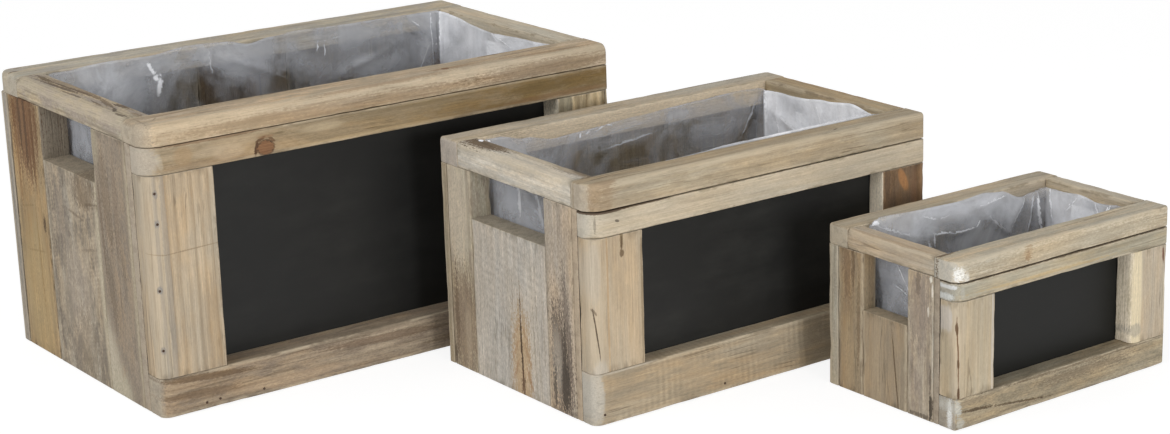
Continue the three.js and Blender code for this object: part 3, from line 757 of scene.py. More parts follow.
mediumBoards = {
    "rim_front": {
        "tones": ("#b3a389", "#93805d", "#a1927a"), "end": "#b4a99a", "rings": 0.35, "ring": 7,
        "heart": (60, -40), "weathering": 0.4, "streaks": 0.25,
        "marks": (
            (16, 4, 16, 5, 0, "#937a5c", 0.6), (26, 18, 16, 1.0, 6, "#5c4934", 0.8),
            (120, 24, 160, 2, 0, "#867252", 0.4), (18, 26, 9, 0.8, 0, "#584633", 0.8),
            (290, 10, 4, 1, 20, "#584633", 0.7),
        ),
    },
    "rim_left": {
        "tones": ("#d4cfc4", "#b3a892", "#bcb5a8"), "rings": 0.35, "ring": 6, "weathering": 0.45,
        "ragged": 0.8, "rough": 0.5,
        "marks": (
            (152, 8, 38, 13, 5, "#73624e", 1.0, 25, 8), (22, 4, 34, 8, 0, "#786550", 0.7),
            (60, 4, 70, 5, 0, "#bcad93", 0.6), (160, 7, 20, 2, -8, "#594a3a", 0.7),
            (12, 3, 16, 3, 0, "#6b5943", 0.75), (174, 20, 5, 1, 0, "#665846", 0.7),
            (168, 22, 2, 1, 0, "#665846", 0.7),
        ),
    },
    "rim_right": {
        "tones": ("#baa889", "#8b7452", "#9e8d70"), "ring": 6,
        "marks": ((90, 2, 130, 4, 0, "#a17e53", 0.5),),
    },
    "rim_back": {
        "tones": ("#c6baa5", "#a49479", "#b4a998"), "end": "#b3aca7", "side": "#d3c2a8", "rings": 0.35,
        "ring": 8, "weathering": 0.45, "rough": 0.5,
        "marks": (
            (290, 28, 90, 1.8, 0, "#695844", 0.75), (120, 25, 60, 1.2, 0, "#80705b", 0.6),
            (60, 3, 50, 3, 0, "#9b8b72", 0.5),
        ),
    },
    "top_rail": {
        "tones": ("#c3b6a0", "#a89775", "#b1a58f"), "end": "#bab5aa", "rings": 0.18, "ring": 8,
        "heart": (60, -30), "weathering": 0.2, "streaks": 0.12, "flecks": 0.12, "patchy": 0.5, "bands": 0.4,
        "cracks": 0.2,
        "marks": (
            (29, 13, 2.6, 1.2, -20, "#5b5248", 0.8), (7, 12, 1, 8, 0, "#7d7669", 0.6),
            (14, 23, 30, 1.6, 0, "#4b3828", 0.9), (60, 23.2, 30, 1.0, 0, "#5b4836", 0.8),
        ),
    },
    "bottom_rail": {
        "tones": ("#af9e84", "#8d7a5d", "#988b75"), "end": "#b8b2a7", "rings": 0.2, "ring": 8,
        "heart": (-30, -30), "weathering": 0.5, "streaks": 0.2, "sawn": 0.9, "sawPitch": 6.5,
        "sawSlope": 0.05,
        "marks": ((4, 26, 7, 26, 0, "#bcb6aa", 0.75), (30, 47.5, 40, 1.4, 0, "#c9bead", 0.5)),
    },
    "left_stile": {
        "tones": ("#bdab91", "#a18b6b", "#ac9c85"), "worn": "#baab94", "rings": 0.18, "ring": 8,
        "heart": (90, -20), "weathering": 0.3, "streaks": 0.1, "flecks": 0.25, "patchy": 0.7, "bands": 0.3,
        "cracks": 0.2, "rough": 0.2,
        "marks": (
            (5, 33, 9, 2.0, 0, "#7f6c4e", 0.75), (8, 33, 8, 0.9, 0, "#58442f", 0.85),
            (17, 33, 4, 2.6, 0, "#66523a", 0.85), (88, 5, 27, 0.6, 6, "#47392b", 0.9),
            (66, 3.5, 4, 1.0, 30, "#594735", 0.6), (30, 4, 30, 6, 0, "#b9b0a2", 0.4),
            (60, 17, 80, 1.2, 0, "#b89568", 0.5), (126, 8, 16, 8, 0, "#c1baae", 0.5),
            (76, 54, 90, 1.2, 0, "#87765b", 0.6),
        ),
    },
    "right_stile": {
        # the near-white side is painted light on the stile's shaded inner side, beside the chalkboard
        "tones": ("#8f7254", "#4f3c29", "#75614e"), "worn": "#937b61", "side": "#fff3dc", "rings": 0.7,
        "ring": 8, "heart": (27, -24), "weathering": 0.5, "streaks": 0.5, "rough": 0.6,
        "marks": (
            (12, 26, 13, 5, 24, "#b48151", 0.7), (10, 6, 20, 4, 0, "#514133", 0.6),
            (60, 40, 60, 5, 0, "#856348", 0.5),
        ),
    },
    "left_slat_rear": {
        "tones": ("#cabda3", "#9d8b70", "#9e9181"), "rings": 0.3, "ring": 6, "heart": (-30, -30),
        "weathering": 0.55, "streaks": 0.3, "flecks": 0.6, "ragged": 0.8, "rough": 0.8,
        "marks": (
            (45, 14, 60, 20, 0, "#cfc2ae", 0.7), (150, 18, 56, 28, 0, "#8c7862", 0.7),
            (140, 8, 50, 3, 0, "#6b5744", 0.6), (160, 26, 30, 5, 0, "#b9a891", 0.5),
            (186, 3, 12, 2.5, 0, "#554333", 0.7),
        ),
    },
    "left_slat_middle": {
        "tones": ("#c9c1b5", "#aca290", "#bab1a4"), "end": "#7f7664", "rings": 0.3, "ring": 9,
        "heart": (74, -8), "weathering": 0.5, "streaks": 0.15, "flecks": 0.35, "patchy": 0.5, "ragged": 0.9,
        "rough": 0.7, "sawn": 0.6, "sawPitch": 8.5, "sawSlope": -0.22,
        "marks": (
            (124, 76, 60, 16, 0, "#bea17a", 0.8), (88, 70, 15, 1.6, -30, "#ab8358", 0.4),
            (92, 82, 15, 1.6, 30, "#ab8358", 0.4), (110, 66, 16, 1.8, -28, "#a88158", 0.42),
            (112, 86, 16, 1.8, 28, "#a88158", 0.42), (132, 65, 16, 1.8, -24, "#a37b54", 0.5),
            (134, 88, 16, 1.8, 24, "#a37b54", 0.5), (108, 76, 44, 1.5, 1, "#4c3927", 0.95),
            (142, 77, 16, 3.2, 0, "#684e37", 0.8), (60, 118, 130, 10, 0, "#c3b9ad", 0.5),
            (120, 98, 60, 1.4, 3, "#aea493", 0.6), (110, 104, 70, 1.4, 3, "#aea493", 0.5),
            (70, 112, 90, 1.2, 2, "#aba190", 0.5),
        ),
    },
    "left_slat_front": {
        "tones": ("#c4b4a0", "#9c8b77", "#ab9c89"), "rings": 0.3, "ring": 7, "streaks": 0.25, "ragged": 1.0,
        "rough": 0.9,
        "marks": (
            (152, 22, 62, 17, 5, "#665a4f", 0.85), (112, 31, 50, 6, 5, "#807366", 0.8),
            (150, 14, 34, 8, 0, "#b8ae9f", 0.55), (170, 26, 30, 6, 0, "#484037", 0.8),
            (132, 26, 20, 4, 3, "#4c4339", 0.6), (176, 10, 22, 3, 0, "#494138", 0.7),
        ),
    },
    "back_board": {
        "tones": ("#b3a48a", "#8f7f65", "#9c8f7b"), "weathering": 0.5, "grime": 0.1, "rough": 0.6,
        "sawn": 0.4,
    },
    "chalkboard": {"tones": ("#baa68d", "#98846c", "#a39482"), "end": "#b4a28c", "rings": 0.3},
}
smallBoards = {
    "rim_front": {
        "tones": ("#cabea7", "#9f9079", "#afa795"), "end": "#c0beb6", "rings": 0.4, "ring": 7,
        "heart": (50, -40), "weathering": 0.5, "ragged": 1.0, "rough": 0.45,
        "marks": (
            (14, 27, 16, 3, 8, "#665138", 0.85), (87, 0, 3.4, 5, 0, "#825d3e", 0.85, 8, 4.5),
            (87, 0, 6, 5, 0, "#ad8e69", 0.5, 11, 7), (5, 2, 6.5, 4, -25, "#f4f3ee", 0.9, 7, 7),
            (12, 0, 3, 3, 0, "#e7e5dd", 0.7, 4, 5), (40, 29, 40, 1.2, 0, "#78644b", 0.6),
            (190, 20, 50, 1.6, 2, "#94846e", 0.5), (150, 0, 150, 5, 0, "#a69578", 0.4, 8, 9),
        ),
    },
    "rim_left": {
        "tones": ("#c1b39e", "#99886f", "#ab9e8d"), "rings": 0.4, "ring": 6, "weathering": 0.45,
        "marks": ((60, 14, 60, 2.5, 0, "#9d805f", 0.4),),
    },
    "rim_right": {"tones": ("#cebfa5", "#a28e6e", "#b6a998"), "ring": 6},
    "rim_back": {"tones": ("#c0b198", "#998666", "#ab9e8d"), "rings": 0.4, "ring": 7},
    "top_rail": {
        "tones": ("#b0a894", "#918464", "#9c9786"), "end": "#a19f96", "rings": 0.35, "ring": 6,
        "heart": (50, -20), "weathering": 0.4, "ragged": 1.0,
        "marks": (
            (110, 5, 90, 1.6, 0, "#c0a77d", 0.6), (1, 13, 3, 2, 0, "#d6d7d6", 0.85),
            (0, 4, 2, 3, 0, "#d1d3cf", 0.8), (8, 8, 2, 6, 0, "#acaaa1", 0.5),
            (130, 16.4, 150, 0.7, 0, "#574634", 0.75),
        ),
    },
    "bottom_rail": {
        "tones": ("#a99c83", "#796b55", "#867c68"), "end": "#a29b91", "rings": 0.3, "heart": (-30, -20),
        "weathering": 0.5, "streaks": 0.2, "flecks": 0.5, "ragged": 1.0, "rough": 0.7,
        "marks": (
            (28, 14.5, 22, 1.4, -5, "#52412d", 0.85), (78, 9, 36, 1.2, -6, "#52412d", 0.8),
            (170, 19, 60, 5, 0, "#7e6f5a", 0.6), (20, 24, 22, 3, 0, "#92846e", 0.6),
            (0, 14, 3, 16, 0, "#edede9", 0.9, 14, 3.5), (3, 20, 4, 8, 10, "#cdcbc1", 0.75),
            (6, 6, 5, 5, 0, "#bebbaf", 0.7), (150, 27, 110, 1.2, 0, "#665640", 0.6),
        ),
    },
    "left_stile": {
        "tones": ("#bbad95", "#9e8b6a", "#a99e88"), "worn": "#b7a996", "rings": 0.3, "ring": 6,
        "heart": (80, -15), "weathering": 0.25, "streaks": 0.12, "flecks": 0.2, "patchy": 0.6, "bands": 0.5,
        "rough": 0.2, "wear": 0.4,
        "marks": (
            (52, 3.2, 40, 0.6, 0, "#694a2d", 0.9), (84, 3.4, 7, 1.4, 0, "#503620", 0.9),
            (24, 3.2, 6, 1.2, 0, "#5b4129", 0.85), (56, 3.2, 5, 1.1, 0, "#5b4129", 0.8),
            (40, 44, 60, 1.6, 0, "#c9c2b7", 0.6), (16, 0, 12, 1.0, 0, "#cfcdcb", 0.4),
        ),
    },
    "right_stile": {
        # the near-white side is painted light on the stile's shaded inner side, beside the chalkboard
        "tones": ("#bbae9b", "#9f8d6e", "#aca291"), "worn": "#d4c7ae", "side": "#fff3df", "rings": 0.3,
        "ring": 9, "weathering": 0.2, "streaks": 0.12, "flecks": 0.2,
        "marks": (
            # the pale band along the inner edge of the front face is partly worn wood and partly painted
            # light
            (50, 6, 90, 6.5, 0, "#d9caaa", 0.9), (9, 40, 8, 1.6, 3, "#6a4431", 0.9),
            (16, 43, 14, 0.8, 0, "#754e3a", 0.7), (76, 6, 7, 7, 0, "#9d968a", 0.6),
        ),
    },
    "left_slat_rear": {
        "tones": ("#a99475", "#8a755b", "#93826c"), "rings": 0.3, "ring": 7, "heart": (20, -30),
        "weathering": 0.5, "streaks": 0.2, "flecks": 0.7, "ragged": 0.9, "rough": 0.6,
        "marks": (
            (20, 12, 34, 6, 2, "#816951", 0.6), (14, 20, 22, 2, 0, "#644f39", 0.6),
            (100, 14, 40, 8, 0, "#b39e7e", 0.5), (66, 27, 50, 2, 0, "#7c674d", 0.5),
        ),
    },
    "left_slat_middle": {
        "tones": ("#aa987e", "#8d7b61", "#978976"), "end": "#827661", "rings": 0.35, "ring": 7,
        "streaks": 0.15, "bands": 0.5,
        "marks": ((50, 44, 46, 0.9, 7, "#58452f", 0.8), (60, 18, 60, 8, 0, "#b09e83", 0.4)),
    },
    "left_slat_front": {
        "tones": ("#bdae98", "#95846c", "#9d9082"), "rings": 0.3, "ring": 7, "weathering": 0.6, "flecks": 0.6,
        "ragged": 0.9, "rough": 0.6,
        "marks": (
            (34, 16, 40, 14, 0, "#94877b", 0.55), (132, 18, 2, 14, 0, "#554b3e", 0.6),
            (3, 30, 3, 2, 0, "#efeadc", 0.85), (33, 27, 5, 1.4, 0, "#e9e2d4", 0.75),
            (14, 32, 7, 1.2, 0, "#ede7da", 0.8), (70, 32.6, 40, 0.8, 0, "#cdc6b6", 0.6),
            (122, 31, 14, 2.4, 0, "#3b3226", 0.9), (96, 30, 12, 1.2, 0, "#564836", 0.6),
            (10, 14, 12, 3, 0, "#786a5b", 0.6),
        ),
    },
    "back_board": {
        "tones": ("#bab19d", "#968b75", "#a49b8b"), "weathering": 0.5, "grime": 0.15, "rough": 0.6,
        "sawn": 0.5,
    },
    "chalkboard": {"tones": ("#a19485", "#837561", "#8d8276"), "end": "#9c8f7f", "rings": 0.3},
}
planters = {
    "large": {
        "boards": largeBoards,
        "backBoards": 5,
        "topCornerMm": 18,  # the front board of the rim and the top rail, rounded at the left
        "stileCornerMm": (16, 9),  # the left stile's outer edge, at its top and its foot
        "footCornerMm": 9,  # the bottom rail, at the left
        "chalk": ("#1c1c1b", 0.4),  # the paint's black, and how much dust is on it
        "rimArrisMm": 8,  # outer edges of the rim
        "backArrisMm": 3,
        "seamArrisMm": 0.35,  # between the rim and the top rail
        "innerArrisMm": 1.2,  # the right stile, beside the chalkboard
        "backCornerMm": 14,
    },
    "medium": {
        "boards": mediumBoards,
        "backBoards": 4,
        "topCornerMm": 16,
        "stileCornerMm": (14, 8),
        "footCornerMm": 9,
        "chalk": ("#1c1c1b", 0.6),
        "rimArrisMm": 4,
        "backArrisMm": 2.5,
        "seamArrisMm": 0.9,
        "innerArrisMm": 1.2,
        "backCornerMm": 3,
    },
    "small": {
        "boards": smallBoards,
        "backBoards": 3,
        "topCornerMm": 12,
        "stileCornerMm": (10, 3),
        "footCornerMm": 2,
        "chalk": ("#141412", 0.05),
        "rimArrisMm": 3,
        "backArrisMm": 2,
        "seamArrisMm": 0.8,
        "innerArrisMm": 5,
        "backCornerMm": 4,
    },
}


def ridePiece(piece, name, nodes):
    bpy.context.scene.collection.objects.link(piece)
    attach(piece, name + "_planter")
    if nodes:
        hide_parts(*nodes)


def roundings(part, planter):
    # radii of a board's long edges, in the order of sectionPoints, and its rounded corners
    corner, rim, backCorner = planter["topCornerMm"], planter["rimArrisMm"], planter["backCornerMm"]
    foot, seam, backArris = planter["footCornerMm"], planter["seamArrisMm"], planter["backArrisMm"]
    rimEnd = ("start", "zHigh", 0.8 * rim)
    lastBoard = f"back_board_{planter['backBoards']}"
    edges = {
        "rim_front": (seam, 1, 1.6, rim),
        "rim_back": (1, 2, backArris, 1.6),
        "rim_left": (1, 2, rim, 1.6),
        "rim_right": (2, 1, 1.6, 2.5),
        "left_stile": (1, 1, 1.2, planter["stileCornerMm"]),
        "right_stile": (1, 1, 3, planter["innerArrisMm"]),
        "back_board_1": (0.4, 0.4, backCorner, 1.2),
        lastBoard: (0.4, 0.4, 1.2, 4),
        "top_rail": (1, 1, seam, 1.6),
        "bottom_rail": (1, 1, 1.2, 1.6),
    }
    corners = {
        "rim_front": [("start", "yLow", corner), ("end", "yLow", 3), rimEnd],
        "rim_back": [("start", "yHigh", backCorner), ("end", "yHigh", 4), rimEnd],
        "top_rail": [("start", "zHigh", corner), ("end", "zHigh", 3)],
        "bottom_rail": [("start", "zHigh", foot), ("end", "zHigh", 3)],
    }
    plain = (0.4, 0.4, 1.3, 1.3) if "back" in part else (1, 1, 1.3, 1.3)
    edges = [edge if isinstance(edge, tuple) else (edge, edge) for edge in edges.get(part, plain)]
    edges = [(start * mm, end * mm) for start, end in edges]
    return edges, [(end, side, radius * mm) for end, side, radius in corners.get(part, [])]


def addBoard(name, piece, part, low, high, seed):
    planter = planters[name]
    key = next(k for k in lies if k in part)
    length, face = lies[key]
    shrink = face.cross(length) if length.z else face.cross(length) + length
    seam = cut["tightMm"] if "slat" in part or "back_board" in part else cut["seamMm"]
    shrink = Vector([abs(share) for share in shrink]) * seam * mm
    place, size = boardPlace(low + shrink, high - shrink, length, face)
    rough = 1.0 if "slat" in part or "back" in part else 0.8
    mesh = boardMesh(piece, size, *roundings(part, planter), rough, seed)
    looks = planter["boards"]  # the right slats look like the left ones
    look = looks.get(part.replace("right_slat", "left_slat")) or looks.get(key, {})
    mesh.materials.append(reclaimedPine("reclaimedPine_" + piece, look, size[0] / mm, seed))
    board = bpy.data.objects.new(piece, mesh)
    board.matrix_world = place
    return board


seed = 11
for name, planter in planters.items():
    nodes = sorted(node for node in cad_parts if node.startswith(name + "_"))
    for node in nodes:
        part = node[len(name) + 1 :]
        seed += 1
        if part == "liner":
            continue
        low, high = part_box(node)
        if part == "back_boards":  # one node, but separate boards
            count = planter["backBoards"]
            joints = [low.x + (high.x - low.x) * i / count for i in range(count + 1)]
            for i in range(count):
                ends = Vector((joints[i], low.y, low.z)), Vector((joints[i + 1], high.y, high.z))
                board = addBoard(name, f"{node}_{i + 1}", f"back_board_{i + 1}", *ends, seed * 10 + i)
                ridePiece(board, name, [node])
            continue
        board = addBoard(name, node + "_board", part, low, high, seed)
        if part == "chalkboard":
            board.data.materials.append(chalkboardPaint(name, *planter["chalk"]))
            for face in board.data.polygons:
                if face.normal.z > 0.9:  # the painted front
                    face.material_index = 1
        ridePiece(board, name, [node])
    print(name, "boards cut:", len(nodes) - 1)


# The film liners. Each is one sheet, folded into the box and held inside the rim. Places on a wall are
# measured from the planter's front left corner, along the wall, and down from the top of the rim, in
# millimetres.
liners = {
    "pitchMm": 3.4,
    "cornerMm": 9,
    "clearMm": 0.7,
    "thicknessMm": 0.4,
    "heldMm": 8,  # down to here the rim holds the film to the wall
    "freeMm": 45,  # over this distance it comes free of it
    "waves": ((11, 6), (26, 12), (80, 50)),  # broad, middle and fine ones per metre, across and down
    "facets": (34, 24),
    "pleatMm": 1.5,  # pleats in the corners
    "pleatReachMm": 16,
    "pleats": 850,  # radians per metre
    "footMm": 20,  # the film bends inwards at its foot over this height
    "footInMm": 8,
    "floorSteps": 16,
    "edgeLayers": 0.3,  # along the upper edge and on the floor
    "unevenMm": 0.5,  # the upper edge
    "sheetWaves": (60, 40, 16, 60),  # per metre: upper edge, floor, milky parts, and finer ones in them
    "large": {
        "seed": 3,
        "slackMm": 7.5,
        "crumple": 0.35,
        "edge": {  # how far the edge of the film lies below the top of the rim
            "back": (
                (30, 1.5), (59, 0.9), (85, -1.1), (137, -0.2), (180, -3.9), (218, -2.4), (245, 3.5),
                (270, 0.5), (302, -1.7), (348, -0.4), (472, 0.6),
            ),
            "right": ((40, 4), (82, 6.7), (164, 9.4), (261, 1)),
            "front": ((28, 2), (250, 4), (472, 4)),
            "left": ((40, 2), (150, 5), (261, 2)),
        },
        "hazeAndLight": {  # milkier parts, and painted light on the right walls: along, down, half length, half width, layers
            "back": (
                (60, 26, 66, 46, 0.6), (260, 10, 240, 17, 0.42), (455, 30, 22, 60, 0.4),
                (318, 26, 30, 26, 0.34), (238, 26, 32, 14, 0.34), (385, 44, 50, 14, 0.3),
            ),
            # painted light: the whole right wall is whitened where light falls on it
            "right": ((150, 60, 300, 300, 1.0),),
            "front": ((250, 0, 300, 20, 0.6),),
            "left": ((150, 60, 200, 200, 0.3),),
        },
        "creases": {  # along, down, slope, half length, half width, rise, whiteness, which is partly painted highlight
            "back": (
                (137, 13, -62, 9, 2.4, 1.5, 1.0), (144, 31, 76, 12, 3.2, 2.5, 1.0),
                (141, 22, -80, 4, 3.2, 0.0, 1.0), (140, 22, 84, 24, 9.0, 0.0, 0.3),
                (201, 16, -86, 14, 0.8, 1.5, 0.6), (322, 18, 80, 6, 0.8, 0.5, 0.75),
                (330, 22, 85, 8, 0.8, 0.5, 0.8), (345, 12, 4, 8, 0.7, 0.5, 0.6),
                (441, 11, -40, 7, 1.0, 0.5, 0.85), (458, 26, 88, 32, 1.3, 2.5, 0.8),
                (449, 44, 62, 22, 0.9, 1.5, 0.5), (262, 34, -24, 44, 1.0, 3.5, 0.22),
                (380, 40, 18, 40, 1.0, 3.0, 0.2), (70, 20, -50, 30, 2.0, 3.0, 0.2),
            ),
            "right": (
                (254, 20, 88, 26, 1.6, 2.5, 1.0), (247, 26, 84, 22, 0.9, 1.5, 0.9),
                (140, 15, 14, 24, 0.9, 1.5, 1.0), (152, 14, 38, 10, 0.8, 1.0, 1.0),
            ),
            "left": ((132, 46, 80, 26, 2.2, 2, 0.5), (158, 50, -72, 26, 1.2, 2, 0.8)),
        },
    },
    "medium": {
        "seed": 8,
        "slackMm": 7,
        "crumple": 0.45,
        "edge": {
            "back": (
                (24, 2), (45, 3), (75, 9), (110, 15), (137, 13.5), (160, 12), (200, 10), (281, 7), (330, 5),
                (360, 6.5), (369, 8),
            ),
            "right": ((28, 3), (45, 5), (74, 0.4), (110, 4), (159, 8.3), (208, 8.5)),
            "front": ((24, 3), (120, 1), (190, -1.4), (340, -1.8), (369, 1.5)),
            "left": ((28, 3), (120, 4), (208, 8)),
        },
        "hazeAndLight": {
            "back": (
                (50, 30, 60, 45, 0.55), (240, 18, 170, 9, 0.28), (70, 55, 40, 25, 0.5),
                (200, 30, 60, 8, 0.26), (300, 34, 30, 12, 0.26),
            ),
            # painted light: the whole right wall is whitened where light falls on it
            "right": ((120, 60, 300, 300, 1.0),),
            "front": ((200, 0, 250, 20, 0.7),),
            "left": ((120, 60, 200, 200, 0.2),),
        },
        "creases": {
            "back": (
                (195, 32, 6, 38, 1.0, 1.5, 0.55), (185, 20, 5, 50, 0.9, 1.5, 0.35),
                (182, 26, 5, 52, 6, 0.0, 0.2), (146, 16, 10, 3, 1.1, 0.3, 0.6),
                (162, 14, 24, 7, 0.9, 0.5, 0.6), (173, 13, -10, 5, 0.9, 0.3, 0.6),
                (138, 17, 80, 3, 1.2, 0.3, 0.9), (306, 4, 3, 15, 0.8, 0.3, 0.8),
                (60, 40, -40, 30, 8.0, 2.0, 0.3), (345, 34, 60, 26, 1.1, 2.5, 0.45),
            ),
            "right": (
                (200, 30, 86, 26, 2.5, 3.0, 1.0), (184, 34, 80, 24, 1.2, 2.0, 1.0),
                (122, 20, 66, 14, 1.2, 1.5, 1.0), (160, 40, 20, 40, 2.0, 2.5, 0.9),
            ),
            "left": ((152, 48, 84, 26, 3.0, 3, 0.6), (120, 50, 70, 30, 4.0, 3, 0.45)),
        },
    },
    "small": {
        "seed": 15,
        "slackMm": 9,
        "crumple": 1.0,
        "edge": {
            "back": (
                (18, 0), (41, -3.6), (90, -1.1), (140, 0.4), (166, -1.7), (192, 1.0), (218, 10.8), (238, 8.4),
                (253, 7),
            ),
            "right": ((29, 5), (43, 5.9), (70, 9), (96, 6), (120, 8), (142, 7)),
            "front": ((18, 2), (130, 3), (253, 5)),
            "left": ((29, 2), (90, 4), (142, 0)),
        },
        "hazeAndLight": {
            "back": (
                (110, 8, 150, 20, 0.6), (50, 25, 56, 50, 0.65), (240, 20, 24, 40, 0.55),
                (130, 44, 150, 24, 0.42), (200, 20, 30, 16, 0.5),
            ),
            # painted light: the whole right wall is whitened where light falls on it
            "right": ((90, 40, 200, 200, 0.7),),
            "front": ((120, 0, 200, 16, 0.6),),
            "left": ((90, 60, 200, 200, 0.35),),
        },
        "creases": {
            "back": (
                (31, 1, 0, 8, 1.6, 1.5, 0.9), (58, 14, -23, 38, 1.0, 2.5, 0.7),
                (100, 9, -18, 13, 0.8, 1.0, 0.8), (119, 12, 9, 8, 0.8, 1.0, 0.7),
                (113, 26, -9, 14, 1.2, 2.5, 1.0), (142, 29, 1, 17, 1.2, 3.0, 1.0),
                (161, 27, 32, 5, 1.0, 1.0, 1.0), (103, 30, -80, 9, 1.3, 2.5, 0.9),
                (98, 36, -70, 9, 0.9, 1.0, 0.8), (186, 32, -40, 20, 1.2, 5.0, 0.6),
                (212, 26, 52, 20, 1.0, 4.0, 0.7), (180, 8, 7, 24, 1.0, 2.0, 0.9),
                (228, 30, 75, 24, 1.1, 4.0, 0.7), (240, 34, -84, 26, 1.6, 4.0, 1.0),
            ),
            "right": (
                (128, 24, 76, 20, 1.3, 4.0, 1.0), (104, 18, -50, 14, 1.0, 2.5, 1.0),
                (71, 15, 52, 10, 1.4, 2.5, 1.0), (58, 14, -60, 9, 1.2, 2.5, 1.0),
                (43, 11, 80, 8, 1.3, 2.0, 1.0),
            ),
            "front": ((120, 6, 1, 60, 2.0, 1.0, 0.8),),
            "left": (
                (96, 40, 60, 14, 1.0, 1.5, 0.9), (84, 48, -30, 12, 0.8, 1.0, 0.8),
                (100, 54, 20, 12, 0.8, 1.0, 0.7),
            ),
        },
    },
}


def wallPoint(low, high, radius, share):
    # a point on the rounded rectangle, its inward direction, the wall it is on and its distance to a corner
    runs = [high.x - low.x - 2 * radius, high.y - low.y - 2 * radius]
    arc = 0.5 * math.pi * radius
    left = share * (2 * (runs[0] + runs[1]) + 4 * arc)
    walls = ("front", "right", "back", "left")
    starts = (
        (low.x + radius, low.y),
        (high.x, low.y + radius),
        (high.x - radius, high.y),
        (low.x, high.y - radius),
    )
    for side, (dx, dy) in enumerate(((1, 0), (0, 1), (-1, 0), (0, -1))):
        run = runs[side % 2]
        if left <= run:
            x, y = starts[side][0] + dx * left, starts[side][1] + dy * left
            return (x, y), (-dy, dx), walls[side], min(left, run - left)
        left -= run
        if left <= arc:
            angle = left / radius
            cos, sin = math.cos(angle), math.sin(angle)
            inward = (-dy * cos - dx * sin, dx * cos - dy * sin)
            middleX = starts[side][0] + dx * run - dy * radius
            middleY = starts[side][1] + dy * run + dx * radius
            wall = walls[side] if angle < math.pi / 4 else walls[(side + 1) % 4]
            return (middleX - inward[0] * radius, middleY - inward[1] * radius), inward, wall, 0.0
        left -= arc
    return starts[0], (0, 1), "front", 0.0


def edgeDrop(points, along):
    # how far the film's edge lies below the top of the rim here
    if along <= points[0][0]:
        return points[0][1]
    for (alongA, dropA), (alongB, dropB) in zip(points, points[1:]):
        if along <= alongB:
            share = (along - alongA) / (alongB - alongA)
            return dropA + (dropB - dropA) * share * share * (3 - 2 * share)
    return points[-1][1]


def filmOffset(values, wall, along, down, toCorner, at):
    # how far the film stands off its wall, in millimetres
    seed = values["seed"]
    free = min(max((down - liners["heldMm"]) / liners["freeMm"], 0), 1)
    (broadAcross, broadDown), (waveAcross, waveDown), (fineAcross, fineDown) = liners["waves"]
    facetAcross, facetDown = liners["facets"]
    broad = noise.noise(Vector((at.x * broadAcross + seed, at.y * broadAcross, at.z * broadDown)))
    wave = noise.noise(Vector((at.x * waveAcross, at.y * waveAcross + seed, at.z * waveDown)))
    fine = noise.noise(Vector((at.x * fineAcross, at.y * fineAcross, at.z * fineDown + seed)))
    cell = noise.voronoi(Vector((at.x * facetAcross, at.y * facetAcross, at.z * facetDown + seed)))[0]
    facet = 0.5 - (cell[1] - cell[0]) * 1.2
    offset = values["slackMm"] * free * (0.35 + 0.55 * broad + 0.25 * wave)
    offset += values["crumple"] * (0.25 + 0.75 * free) * (2.6 * facet + 1.2 * fine) + 0.35 * fine
    pleat = liners["pleatMm"] * math.exp(-((toCorner / liners["pleatReachMm"]) ** 2))
    offset += pleat * math.sin((at.x - at.y) * liners["pleats"] + broad * 3)
    for middle, depth, slope, halfLength, halfWidth, rise, _ in values["creases"].get(wall, ()):
        if rise == 0:
            continue
        turn = math.radians(slope)
        right, up = along - middle, depth - down
        lengthwise = (right * math.cos(turn) + up * math.sin(turn)) / halfLength
        sideways = (up * math.cos(turn) - right * math.sin(turn)) / max(2.2 * halfWidth, 3.5)
        offset += rise * math.exp(-(lengthwise**4)) * math.exp(-abs(sideways) ** 1.5)
    return offset


def filmHazeAndLight(values, wall, along, down):
    milkyAndLit = 0.0
    for middle, depth, halfLength, halfWidth, amount in values["hazeAndLight"].get(wall, ()):
        away = ((along - middle) / halfLength) ** 2 + ((down - depth) / halfWidth) ** 2
        milkyAndLit = max(milkyAndLit, amount * math.exp(-away))
    return milkyAndLit


def creasePlaces(values, low, high, corner, top):
    # the creases for the film's material: middle, turn, half length, half width and whiteness (partly painted
    # highlight)
    places = []
    for wall, creases in values["creases"].items():
        for along, depth, slope, halfLength, halfWidth, _, whiteAndHighlight in creases:
            z = top / mm - depth
            if wall in ("front", "back"):
                middle = (corner.x / mm + along, (high.y if wall == "back" else low.y) / mm, z)
            else:
                middle = ((high.x if wall == "right" else low.x) / mm, corner.y / mm + along, z)
            turn = (0, -slope, 0 if wall in ("front", "back") else 90)
            places.append((middle, turn, halfLength, halfWidth, whiteAndHighlight))
    return places


